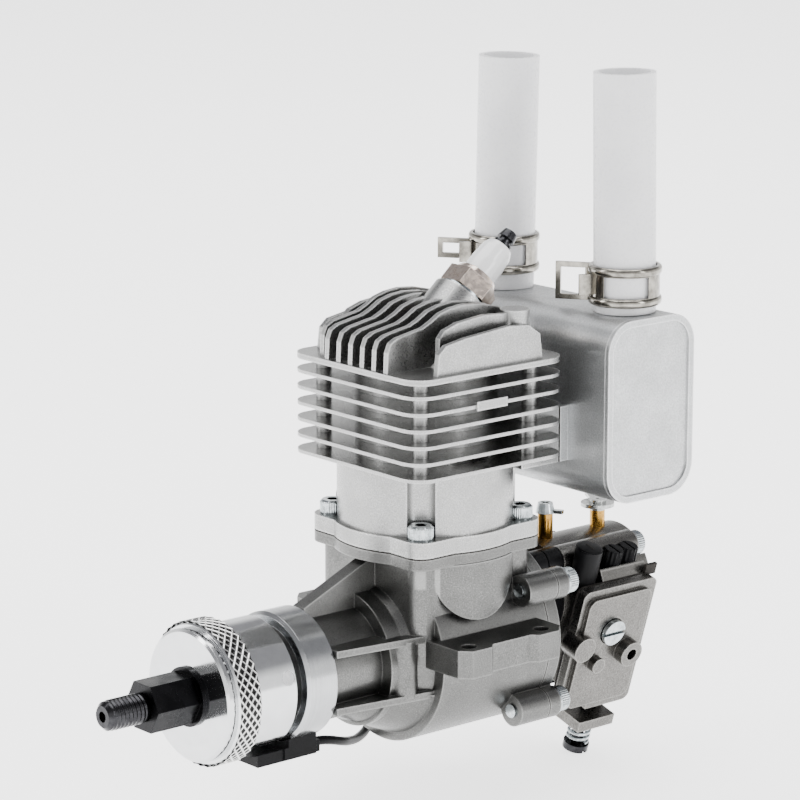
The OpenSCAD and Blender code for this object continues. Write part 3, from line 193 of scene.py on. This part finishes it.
def make_camera():
    """The camera at the photograph's viewpoint."""
    data = bpy.data.cameras.new("photo_camera")
    data.lens = CAMERA_LENS
    data.sensor_width = 36
    data.clip_start = 0.05
    data.clip_end = 60
    camera = put("photo_camera", data)
    right = Vector(CAMERA_RIGHT).normalized()
    back = right.cross(Vector(CAMERA_UP)).normalized()
    turn = Matrix((right, back.cross(right), back)).transposed()
    camera.matrix_world = Matrix.Translation(CAMERA_PLACE) @ turn.to_4x4()
    bpy.context.scene.camera = camera


# Materials

def shade(colour, share):
    """A colour made darker or lighter by a share."""
    return tuple(min(1, share * c) for c in colour)


class Paint:
    """A node material under construction."""

    def __init__(self, name, colour, metallic, roughness):
        self.name = name
        self.mat = bpy.data.materials.new(name)
        self.mat.use_nodes = True
        self.nodes = self.mat.node_tree.nodes
        self.links = self.mat.node_tree.links
        self.shader = self.nodes["Principled BSDF"]
        self.shader.inputs["Base Color"].default_value = (*colour, 1)
        self.shader.inputs["Metallic"].default_value = metallic
        self.shader.inputs["Roughness"].default_value = roughness
        self.mat.diffuse_color = (*colour, 1)
        self.coords = self.nodes.new("ShaderNodeTexCoord").outputs["Object"]

    def make(self, kind, **values):
        """A new node with values in its named inputs."""
        node = self.nodes.new(kind)
        for key, value in values.items():
            node.inputs[key.replace("_", " ")].default_value = value
        return node

    def join(self, out, into):
        self.links.new(out, into)

    def noise(self, size, detail, vector=None):
        """Noise whose grains are about size millimetres wide."""
        node = self.make("ShaderNodeTexNoise", Scale=1 / (size * MM), Detail=detail)
        self.join(vector or self.coords, node.inputs["Vector"])
        return node.outputs[0]

    def span(self, value, low, high, start=0.3, stop=0.7):
        """Maps a value from start..stop to low..high."""
        node = self.nodes.new("ShaderNodeMapRange")
        for place, number in zip((1, 2, 3, 4), (start, stop, low, high)):
            node.inputs[place].default_value = number
        self.join(value, node.inputs[0])
        return node.outputs[0]

    def mix(self, factor, first, second):
        """Mixes two colours, or a colour socket and a colour."""
        node = self.nodes.new("ShaderNodeMix")
        node.data_type = "RGBA"
        self.join(factor, node.inputs[0])
        for place, colour in ((6, first), (7, second)):
            if isinstance(colour, tuple):
                node.inputs[place].default_value = (*colour, 1)
            else:
                self.join(colour, node.inputs[place])
        return node.outputs[2]

    def axes(self):
        """The x, y and z of the surface, in metres."""
        split = self.nodes.new("ShaderNodeSeparateXYZ")
        self.join(self.coords, split.inputs[0])
        return split.outputs

    def about_shaft(self):
        """Distance from the shaft's axis and place along it."""
        x, y, z = self.axes()
        flat = self.nodes.new("ShaderNodeCombineXYZ")
        self.join(x, flat.inputs["X"])
        self.join(z, flat.inputs["Y"])
        radius = self.nodes.new("ShaderNodeVectorMath")
        radius.operation = "LENGTH"
        self.join(flat.outputs[0], radius.inputs[0])
        return radius.outputs["Value"], y

    def crevices(self, reach):
        """1 in corners and gaps, 0 in the open; the mask for painted shade."""
        node = self.make("ShaderNodeAmbientOcclusion", Distance=reach * MM)
        node.samples = 4
        return self.span(node.outputs["AO"], 1, 0, 0.25, 0.8)

    def edges(self, reach):
        """1 near outer edges, 0 on open faces; the mask for a painted highlight."""
        node = self.make("ShaderNodeAmbientOcclusion", Distance=reach * MM)
        node.inside = True
        node.samples = 4
        return self.span(node.outputs["AO"], 1, 0, 0.5, 0.9)

    def times(self, value, factor):
        node = self.nodes.new("ShaderNodeMath")
        node.operation = "MULTIPLY"
        self.join(value, node.inputs[0])
        node.inputs[1].default_value = factor
        return node.outputs[0]

    def bump(self, height, depth, edge):
        """Bumps the surface by depth millimetres, and rounds its edges."""
        node = self.make("ShaderNodeBump", Strength=1, Distance=depth * MM)
        self.join(height, node.inputs["Height"])
        if edge:
            bevel = self.make("ShaderNodeBevel", Radius=edge * MM)
            bevel.samples = 3
            self.join(bevel.outputs[0], node.inputs["Normal"])
        self.join(node.outputs[0], self.shader.inputs["Normal"])

    def colour_from(self, out):
        self.join(out, self.shader.inputs["Base Color"])

    def roughness_from(self, out):
        self.join(out, self.shader.inputs["Roughness"])


def cast_metal(name, light, dark, rough, grain=0.35, depth=0.03, corner_shade=0.75):
    """Sand-cast or bead-blasted alloy: cloudy tone, fine grain, painted shade in corners and a painted
    highlight along outer edges.
    """
    paint = Paint(name, light, 1, rough)
    cloud = paint.noise(9, 4)
    fine = paint.noise(grain, 3)
    tone = paint.mix(paint.span(cloud, 0, 1), light, shade(light, 0.8))
    speckled = paint.mix(paint.span(fine, 0, 0.55), tone, dark)
    # Painted highlight: outer edges are lightened to nearly twice the light colour.
    edge_highlight = paint.mix(paint.times(paint.edges(0.6), 0.6), speckled, shade(light, 1.9))
    # Painted shade: corners and gaps are mixed towards the dark colour.
    paint.colour_from(paint.mix(paint.times(paint.crevices(5), corner_shade), edge_highlight, dark))
    paint.roughness_from(paint.span(fine, rough - 0.08, rough + 0.1))
    paint.bump(fine, depth, edge=0.45)
    return paint


def turned_metal(name, light, rough, lines=0.12, depth=0.006, aniso=0.7):
    """Metal turned about the shaft's axis: fine rings and a streaked gloss."""
    paint = Paint(name, light, 1, rough)
    radius, along = paint.about_shaft()
    rings = paint.nodes.new("ShaderNodeCombineXYZ")
    paint.join(radius, rings.inputs["X"])
    paint.join(along, rings.inputs["Y"])
    fine = paint.noise(lines, 1, rings.outputs[0])
    smear = paint.noise(4, 3)
    tone = paint.mix(paint.span(smear, 0, 1), light, shade(light, 0.9))
    paint.colour_from(paint.mix(paint.span(fine, 0, 0.3), tone, shade(light, 0.6)))
    paint.roughness_from(paint.span(fine, rough - 0.04, rough + 0.08))
    paint.bump(fine, depth, edge=0.2)
    tangent = paint.nodes.new("ShaderNodeTangent")
    tangent.direction_type = "RADIAL"
    tangent.axis = "Y"
    paint.join(tangent.outputs[0], paint.shader.inputs["Tangent"])
    paint.shader.inputs["Anisotropic"].default_value = aniso
    return paint


def plated_metal(name, light, dark, rough, patch=1.6, depth=0.004):
    """Plated, oiled or oxidised metal with faint patches and painted shade in corners."""
    paint = Paint(name, light, 1, rough)
    cloud = paint.noise(patch, 4)
    fine = paint.noise(0.15, 2)
    tone = paint.mix(paint.span(cloud, 0, 0.6), light, dark)
    # Painted shade: corners and gaps are mixed towards the dark colour.
    paint.colour_from(paint.mix(paint.crevices(2), tone, dark))
    paint.roughness_from(paint.span(cloud, rough - 0.07, rough + 0.1))
    paint.bump(fine, depth, edge=0.2)
    return paint


def knurled_metal(name, light, dark):
    """Bright ridges and painted shade in the pits, told apart by their distance from the shaft."""
    paint = Paint(name, light, 1, 0.2)
    fine = paint.noise(0.3, 2)
    radius, _ = paint.about_shaft()
    low, high = (KNURL_R + share * KNURL_DEPTH for share in KNURL_PIT_SHADE_SHARES)
    pit_shade = paint.span(radius, 1, 0, low * MM, high * MM)
    tone = paint.mix(paint.span(fine, 0, 0.3), light, shade(light, 0.6))
    paint.colour_from(paint.mix(pit_shade, tone, dark))
    paint.roughness_from(paint.span(fine, 0.16, 0.3))
    paint.bump(fine, 0.01, edge=0)
    return paint


def capped_brass(name, height, brass, plated):
    """A brass spindle whose top piece, above a height, is zinc plated."""
    paint = Paint(name, brass, 1, 0.24)
    cloud = paint.noise(0.8, 3)
    _, _, z = paint.axes()
    above = paint.span(z, 0, 1, (height - CHOKE_BLEND) * MM, (height + CHOKE_BLEND) * MM)
    body = paint.mix(paint.span(cloud, 0, 0.6), brass, shade(brass, 0.45))
    top = paint.mix(paint.span(cloud, 0, 0.5), plated, shade(plated, 0.5))
    paint.colour_from(paint.mix(above, body, top))
    paint.roughness_from(paint.span(cloud, 0.18, 0.34))
    paint.bump(cloud, 0.006, edge=0.15)
    return paint


def dull_surface(name, light, dark, rough, grain, depth, coat=0.0, gloss=0.5):
    """Plastic, rubber, ceramic or fibre sheet."""
    paint = Paint(name, light, 0, rough)
    cloud = paint.noise(grain * 8, 3)
    fine = paint.noise(grain, 3)
    blend = paint.mix(paint.span(cloud, 0, 0.7), light, dark)
    paint.colour_from(paint.mix(paint.span(fine, 0, 0.4), blend, dark))
    paint.roughness_from(paint.span(fine, rough - 0.07, rough + 0.09))
    paint.bump(fine, depth, edge=0.2)
    paint.shader.inputs["Coat Weight"].default_value = coat
    paint.shader.inputs["Coat Roughness"].default_value = 0.12
    paint.shader.inputs["Specular IOR Level"].default_value = gloss
    return paint


def milky_tube(name):
    """Milky heat-resistant tube that light soaks into."""
    light, dark = (0.8, 0.8, 0.81), (0.72, 0.72, 0.735)
    paint = Paint(name, light, 0, 0.3)
    cloud = paint.noise(14, 3)
    fine = paint.noise(0.9, 2)
    paint.colour_from(paint.mix(paint.span(cloud, 0, 1), light, dark))
    paint.roughness_from(paint.span(fine, 0.24, 0.36))
    paint.bump(fine, 0.01, edge=0.3)
    paint.shader.inputs["Subsurface Weight"].default_value = 0.5
    paint.shader.inputs["Subsurface Radius"].default_value = (1, 1, 1)
    paint.shader.inputs["Subsurface Scale"].default_value = 0.004
    return paint


def make_materials():
    """All materials by name; most names are material slots of the record."""
    brass = (0.55, 0.3, 0.065)
    made = [
        cast_metal("cast_alloy", (0.42, 0.42, 0.415), (0.2, 0.2, 0.196), 0.3, depth=0.014, corner_shade=0.2),
        cast_metal(
            "case_alloy", (0.185, 0.185, 0.18), (0.045, 0.045, 0.043), 0.33, depth=0.014, corner_shade=0.4,
        ),
        cast_metal(
            "pump_alloy", (0.2, 0.194, 0.184), (0.04, 0.038, 0.034), 0.3,
            grain=0.5, depth=0.024, corner_shade=0.5,
        ),
        cast_metal(
            "silencer_alloy", (0.6, 0.61, 0.615), (0.26, 0.265, 0.27), 0.38,
            grain=0.5, depth=0.035, corner_shade=0.3,
        ),
        turned_metal("turned_alloy", (0.74, 0.75, 0.76), 0.1, depth=0.003, aniso=0.5),
        turned_metal("ring_alloy", (0.5, 0.51, 0.52), 0.16, lines=0.2, depth=0.004, aniso=0.4),
        turned_metal("piston_alloy", (0.6, 0.6, 0.59), 0.3),
        # The knurl's second colour is the painted shade of its pits.
        knurled_metal("knurl_alloy", (0.85, 0.85, 0.84), (0.02, 0.02, 0.02)),
        plated_metal("ground_steel", (0.5, 0.5, 0.51), (0.25, 0.25, 0.26), 0.22),
        plated_metal("shaft_steel", (0.045, 0.045, 0.048), (0.012, 0.012, 0.014), 0.2),
        plated_metal(
            "black_steel", (0.013, 0.013, 0.014), (0.008, 0.008, 0.009), 0.26, patch=4, depth=0.002,
        ),
        plated_metal("zinc_steel", (0.58, 0.62, 0.64), (0.12, 0.14, 0.145), 0.1),
        plated_metal("plug_nickel", (0.88, 0.77, 0.68), (0.3, 0.22, 0.17), 0.12),
        plated_metal("clamp_steel", (0.36, 0.34, 0.3), (0.02, 0.018, 0.015), 0.12, patch=2.6),
        plated_metal("magnet", (0.78, 0.78, 0.79), (0.4, 0.4, 0.41), 0.16),
        plated_metal("brass", brass, (0.1, 0.045, 0.01), 0.14),
        capped_brass("choke_brass", CHOKE_TOP, brass, (0.46, 0.47, 0.46)),
        dull_surface("ceramic", (0.82, 0.82, 0.82), (0.74, 0.74, 0.74), 0.14, 1.2, 0.004, coat=0.6),
        dull_surface("gasket", (0.03, 0.026, 0.023), (0.01, 0.009, 0.008), 0.75, 0.3, 0.05, gloss=0.2),
        dull_surface(
            "black_rubber", (0.006, 0.006, 0.007), (0.003, 0.003, 0.003), 0.42, 0.25, 0.02, gloss=0.1,
        ),
        dull_surface(
            "black_plastic", (0.005, 0.005, 0.006), (0.003, 0.003, 0.003), 0.3, 0.3, 0.012, gloss=0.08,
        ),
        milky_tube("tube_plastic"),
    ]
    return {paint.name: paint.mat for paint in made}


# Nodes whose finish differs a little from the rest of their slot
SPECIAL = {
    "crankcase": "case_alloy",
    "rear_housing": "case_alloy",
    "carb_body": "pump_alloy",
    "pump_cover": "pump_alloy",
    "metering_cover": "pump_alloy",
    "sensor_ring": "ring_alloy",
    "choke_shaft": "choke_brass",
    "idle_screw": "shaft_steel",
}


def paint_nodes(paints):
    """Gives each CAD node the material of its slot, or its own."""
    for part in frame["record"]["subparts"]:
        node = nodes_by_name[part["node"]]
        node.data.materials.clear()
        node.data.materials.append(paints[SPECIAL.get(part["node"], part["material_slot"])])


# Mesh building

def add_mesh(name, verts, faces, paint, body="engine", smooth=40):
    """Makes a piece from points in metres and puts it on a body."""
    mesh = bpy.data.meshes.new(name)
    mesh.from_pydata(verts, [], faces)
    mesh.validate()
    mesh.materials.append(paint)
    piece = put(name, mesh)
    if smooth:
        mesh.polygons.foreach_set("use_smooth", [True] * len(mesh.polygons))
        mesh.set_sharp_from_angle(angle=math.radians(smooth))
    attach(piece, body)
    return piece


def axes_to(direction):
    """A turn that takes z to the direction."""
    return Vector(direction).to_track_quat("Z", "Y").to_matrix()


def skin(rows, closed_ring=True):
    """Faces between rows of points that have equal counts."""
    count = len(rows[0])
    last = count if closed_ring else count - 1
    faces = []
    for i in range(len(rows) - 1):
        for k in range(last):
            n = (k + 1) % count
            faces.append((i * count + k, i * count + n, (i + 1) * count + n, (i + 1) * count + k))
    return faces


def ring_rows(place, direction, outline, sides, rib=0):
    """Rows of points about an axis; outline is radius and height, and rib lifts every other point."""
    turn = axes_to(direction)
    rows = []
    for radius, height in outline:
        row = []
        for k in range(sides):
            a = FULL * k / sides
            r = radius + rib * (k % 2)
            point = Vector((r * math.cos(a), r * math.sin(a), height))
            row.append(turn @ (point * MM) + Vector(place) * MM)
        rows.append(row)
    return rows


def join_rows(groups, closed_ring=True):
    """Points and faces of several skins together."""
    verts, faces = [], []
    for rows in groups:
        start = len(verts)
        verts += [p for row in rows for p in row]
        faces += [tuple(start + i for i in face) for face in skin(rows, closed_ring)]
    return verts, faces


def ribbed_heads(name, seats, paint):
    """Ribbed rims round cap screws' heads."""
    groups = [
        ring_rows(place, direction, HEAD_OUTLINE, HEAD_RIBS * 2, HEAD_RIB_DEPTH)
        for place, direction in seats
    ]
    verts, faces = join_rows(groups)
    add_mesh(name, verts, faces, paint, smooth=20)


def knurl_band(paint):
    """Diamond knurling of the drive hub: crossing ridges with pits between them."""
    verts, faces = [], []
    for j in range(KNURL_ALONG + 1):
        y = KNURL_FRONT + (KNURL_REAR - KNURL_FRONT) * j / KNURL_ALONG
        for k in range(KNURL_AROUND):
            a = FULL * k / KNURL_AROUND
            r = KNURL_R + (KNURL_DEPTH if (j + k) % 2 == 0 else 0)
            verts.append(Vector((r * math.cos(a), y, r * math.sin(a))) * MM)
    for j in range(KNURL_ALONG):
        for k in range(KNURL_AROUND):
            n = (k + 1) % KNURL_AROUND
            a, b = j * KNURL_AROUND + k, j * KNURL_AROUND + n
            c, d = b + KNURL_AROUND, a + KNURL_AROUND
            if (j + k) % 2 == 0:
                faces += [(a, d, c), (a, c, b)]
            else:
                faces += [(a, d, b), (d, c, b)]
    add_mesh("hub_knurl", verts, faces, paint, body="crank", smooth=0)


def clamp_rails(name, x, low, paint):
    """Rolled rims along both edges of a hose clamp."""
    rail_width = RAIL_PROFILE[-1][1]
    groups = []
    for z in (low + RAIL_INSET, low + CLAMP_WIDTH - rail_width - RAIL_INSET):
        outline = [(CLAMP_R + out, z + up) for out, up in RAIL_PROFILE]
        groups.append(ring_rows((x, CLAMP_Y, 0), (0, 0, 1), outline, RAIL_SIDES))
    verts, faces = join_rows(groups)
    add_mesh(name, verts, faces, paint, smooth=60)


def pump_prism(name, outline, ends, paint):
    """A prism along y in the tilted frame of the pump side."""
    count = len(outline)
    verts = [pump_point(x, y, z) for y in ends for x, z in outline]
    faces = [tuple(range(count)), tuple(range(2 * count - 1, count - 1, -1))]
    for k in range(count):
        n = (k + 1) % count
        faces.append((k, k + count, n + count, n))
    add_mesh(name, verts, faces, paint, smooth=0)


def pump_details(paints):
    """The ledge, the gasket's tab, the boot's lid and the needles' ribbed grips."""
    pump_prism("needle_ledge", LEDGE_OUTLINE, LEDGE_ENDS, paints["pump_alloy"])
    pump_prism("gasket_tab", TAB_OUTLINE, TAB_ENDS, paints["gasket"])
    lid = pump_point(*LID_PLACE) / MM
    verts, faces = join_rows([ring_rows(lid, PUMP_UP, LID_OUTLINE, LID_SIDES)])
    add_mesh("boot_lid", verts, faces, paints["black_rubber"], smooth=50)
    pump_prism("boot_slit", SLIT_OUTLINE, SLIT_ENDS, paints["gasket"])
    plastic = paints["black_plastic"]
    for joint in frame["record"]["behaviour"]["joints"]:
        needle = joint["child"]
        if needle in ("high_needle", "low_needle"):
            foot = pump_point(NEEDLE_X, joint["pos_m"][1] / MM, 0) / MM
            rows = ring_rows(foot, PUMP_UP, GRIP_OUTLINE, GRIP_RIBS * 2, GRIP_RIB_DEPTH)
            verts, faces = join_rows([rows])
            add_mesh(needle + "_ribs", verts, faces, plastic, needle, smooth=20)


def shaft_thread(paint):
    """The helical ridge of the shaft's thread."""
    sides, steps = 40, 8
    length = THREAD_END - THREAD_TIP
    count = int(length / THREAD_PITCH * steps)
    rows = []
    for j in range(count + 1):
        fade = min(1, j / steps, (count - j) / steps)
        row = []
        for k in range(sides):
            a = FULL * k / sides
            phase = (j / steps + k / sides) % 1
            ridge = 1 - abs(2 * phase - 1)
            lift = max(0, (1 + THREAD_ROOT) * ridge - THREAD_ROOT)
            r = THREAD_R + THREAD_DEPTH * lift * fade
            y = THREAD_TIP + length * j / count
            row.append(Vector((r * math.cos(a), y, r * math.sin(a))) * MM)
        rows.append(row)
    verts, faces = join_rows([rows])
    add_mesh("shaft_thread", verts, faces, paint, "crank", smooth=70)


def transfer_bulge(side, paint):
    """The round-bottomed bulge over a transfer passage, on one side of the case."""
    columns, rows_count = 48, 20
    front = []
    for j in range(rows_count + 1):
        row = []
        for k in range(columns + 1):
            dy = BULGE_HALF * math.sin(math.pi * (k / columns - 0.5))
            bottom = BULGE_MID_Z - math.sqrt(max(0, BULGE_HALF ** 2 - dy ** 2))
            z = bottom + (BULGE_TOP - bottom) * j / rows_count
            y = BULGE_Y + dy
            row.append(Vector((side * math.sqrt(BULGE_R ** 2 - y ** 2), y, z)) * MM)
        front.append(row)
    rim = [list(front[0]), [Vector((side * BULGE_INNER * MM, p.y, p.z)) for p in front[0]]]
    verts, faces = join_rows([front, rim], closed_ring=False)
    name = "transfer_bulge_right" if side > 0 else "transfer_bulge_left"
    add_mesh(name, verts, faces, paint)


# The sensor's lead

def hank_point(distance):
    """A point of the upright bundle, by the distance run from its lowest point."""
    low, high = HANK_MID - HANK_RUN / 2, HANK_MID + HANK_RUN / 2
    crossing = (distance - 3 * HANK_QUARTER - HANK_RUN) / HANK_RUN
    share = min(1, max(0, crossing))
    share = share * share * (3 - 2 * share)
    x = HANK_LAYERS[0] + (HANK_LAYERS[1] - HANK_LAYERS[0]) * share
    d = distance % HANK_LOOP
    if d < HANK_QUARTER:
        a = d / HANK_R
        return (x, -HANK_R * math.sin(a), low - HANK_R * math.cos(a))
    d -= HANK_QUARTER
    if d < HANK_RUN:
        return (x, -HANK_R, low + d)
    d -= HANK_RUN
    if d < 2 * HANK_QUARTER:
        a = d / HANK_R
        return (x, -HANK_R * math.cos(a), high + HANK_R * math.sin(a))
    d -= 2 * HANK_QUARTER
    if d < HANK_RUN:
        return (x, HANK_R, high - d)
    a = (d - HANK_RUN) / HANK_R
    return (x, HANK_R * math.cos(a), low - HANK_R * math.sin(a))


def lead_route():
    """The whole lead from the sensor to its plug."""
    end = HANK_LOOP + 3 * HANK_QUARTER + HANK_RUN + HANK_OVERRUN
    turns = [hank_point(i * HANK_STEP) for i in range(int(end / HANK_STEP) + 1)]
    return LEAD_ROUTE + turns + TAIL_ROUTE


def make_lead(paint):
    """The lead as one smooth curve of its real thickness."""
    route = lead_route()
    curve = bpy.data.curves.new("sensor_cable", "CURVE")
    curve.dimensions = "3D"
    curve.bevel_depth = LEAD_D / 2 * MM
    curve.bevel_resolution = 3
    curve.resolution_u = 4
    curve.use_fill_caps = True
    spline = curve.splines.new("BEZIER")
    spline.bezier_points.add(len(route) - 1)
    for point, place in zip(spline.bezier_points, route):
        point.co = Vector(place) * MM
        point.handle_left_type = "AUTO"
        point.handle_right_type = "AUTO"
    curve.materials.append(paint)
    cable = put("sensor_cable", curve)
    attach(cable, "engine")
    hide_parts("sensor_lead", "sensor_hank")
    return cable


def make_tie(paint):
    """The tie round the middle of the bundle."""
    out = HANK_R + TIE_MARGIN
    low_z, high_z = HANK_MID - TIE_HALF_HEIGHT, HANK_MID + TIE_HALF_HEIGHT
    corners = [(TIE_X[0], -out), (TIE_X[1], -out), (TIE_X[1], out), (TIE_X[0], out)]
    rows = []
    for z, rim in ((low_z, 0), (low_z, TIE_RIM), (high_z, TIE_RIM), (high_z, 0)):
        row = []
        for x, y in corners:
            sx, sy = (-1 if x == TIE_X[0] else 1), (-1 if y < 0 else 1)
            for step in range(TIE_CORNER_STEPS + 1):
                turn = math.radians(90 * step / TIE_CORNER_STEPS)
                across, along = math.cos(turn), math.sin(turn)
                if sx != sy:
                    across, along = along, across
                reach = TIE_CORNER + rim
                place = (x + sx * (across * reach - TIE_CORNER), y + sy * (along * reach - TIE_CORNER), z)
                row.append(Vector(place) * MM)
        rows.append(row)
    rows.append(list(rows[0]))
    verts, faces = join_rows([rows])
    return add_mesh("hank_tie", verts, faces, paint)


def declare_lead(paints):
    """Makes the lead with its tie."""
    cable = make_lead(paints["black_plastic"])
    tie = make_tie(paints["black_plastic"])


# Stage and light

def make_stage():
    """A plain pale floor just under the part."""
    level = cad_low.z - FLOOR_DROP
    corners = [(x * FLOOR_HALF, y * FLOOR_HALF, level) for x, y in ((-1, -1), (1, -1), (1, 1), (-1, 1))]
    mesh = bpy.data.meshes.new("floor")
    mesh.from_pydata(corners, [], [(0, 1, 2, 3)])
    floor = put("floor", mesh)
    paint = Paint("floor", FLOOR_LIGHT, 0, 0.8)
    cloud = paint.noise(300, 2)
    paint.colour_from(paint.mix(paint.span(cloud, 0, 1), FLOOR_LIGHT, FLOOR_DARK))
    paint.shader.inputs["Emission Color"].default_value = (1, 1, 1, 1)
    paint.shader.inputs["Emission Strength"].default_value = FLOOR_GLOW
    mesh.materials.append(paint.mat)


def area_light(name, place, size, power):
    """A soft light that faces the part."""
    data = bpy.data.lights.new(name, "AREA")
    data.shape = "RECTANGLE"
    data.size, data.size_y = size
    data.energy = power
    light = put(name, data)
    light.location = place
    light.rotation_mode = "QUATERNION"
    light.rotation_quaternion = (Vector(LIGHT_TARGET) - Vector(place)).to_track_quat("-Z", "Y")


def make_light():
    """Three softboxes, and a world that is white low down and grey above."""
    for softbox in SOFTBOXES:
        area_light(*softbox)
    world = bpy.data.worlds.new("studio")
    bpy.context.scene.world = world
    world.use_nodes = True
    nodes, links = world.node_tree.nodes, world.node_tree.links
    background = nodes["Background"]
    background.inputs["Strength"].default_value = WORLD_STRENGTH
    coords = nodes.new("ShaderNodeTexCoord")
    split = nodes.new("ShaderNodeSeparateXYZ")
    ramp = nodes.new("ShaderNodeValToRGB")
    for element, (position, colour) in zip(ramp.color_ramp.elements, WORLD_STOPS):
        element.position = position
        element.color = colour
    links.new(coords.outputs["Generated"], split.inputs[0])
    links.new(split.outputs["Z"], ramp.inputs[0])
    links.new(ramp.outputs[0], background.inputs["Color"])


make_camera()
paints = make_materials()
declare_lead(paints)
make_stage()
make_light()
paint_nodes(paints)
knurl_band(paints["knurl_alloy"])
for name, x, low in CLAMPS:
    clamp_rails(name, x, low, paints["clamp_steel"])
pump_details(paints)
shaft_thread(paints["shaft_steel"])
for side in (-1, 1):
    transfer_bulge(side, paints["case_alloy"])
ribbed_heads("cylinder_screw_ribs", CYLINDER_SEATS, paints["zinc_steel"])
ribbed_heads("case_bolt_ribs", CASE_SEATS, paints["zinc_steel"])
ribbed_heads("carb_screw_ribs", CARB_SEATS, paints["zinc_steel"])
ribbed_heads("silencer_screw_ribs", SILENCER_SEATS, paints["zinc_steel"])
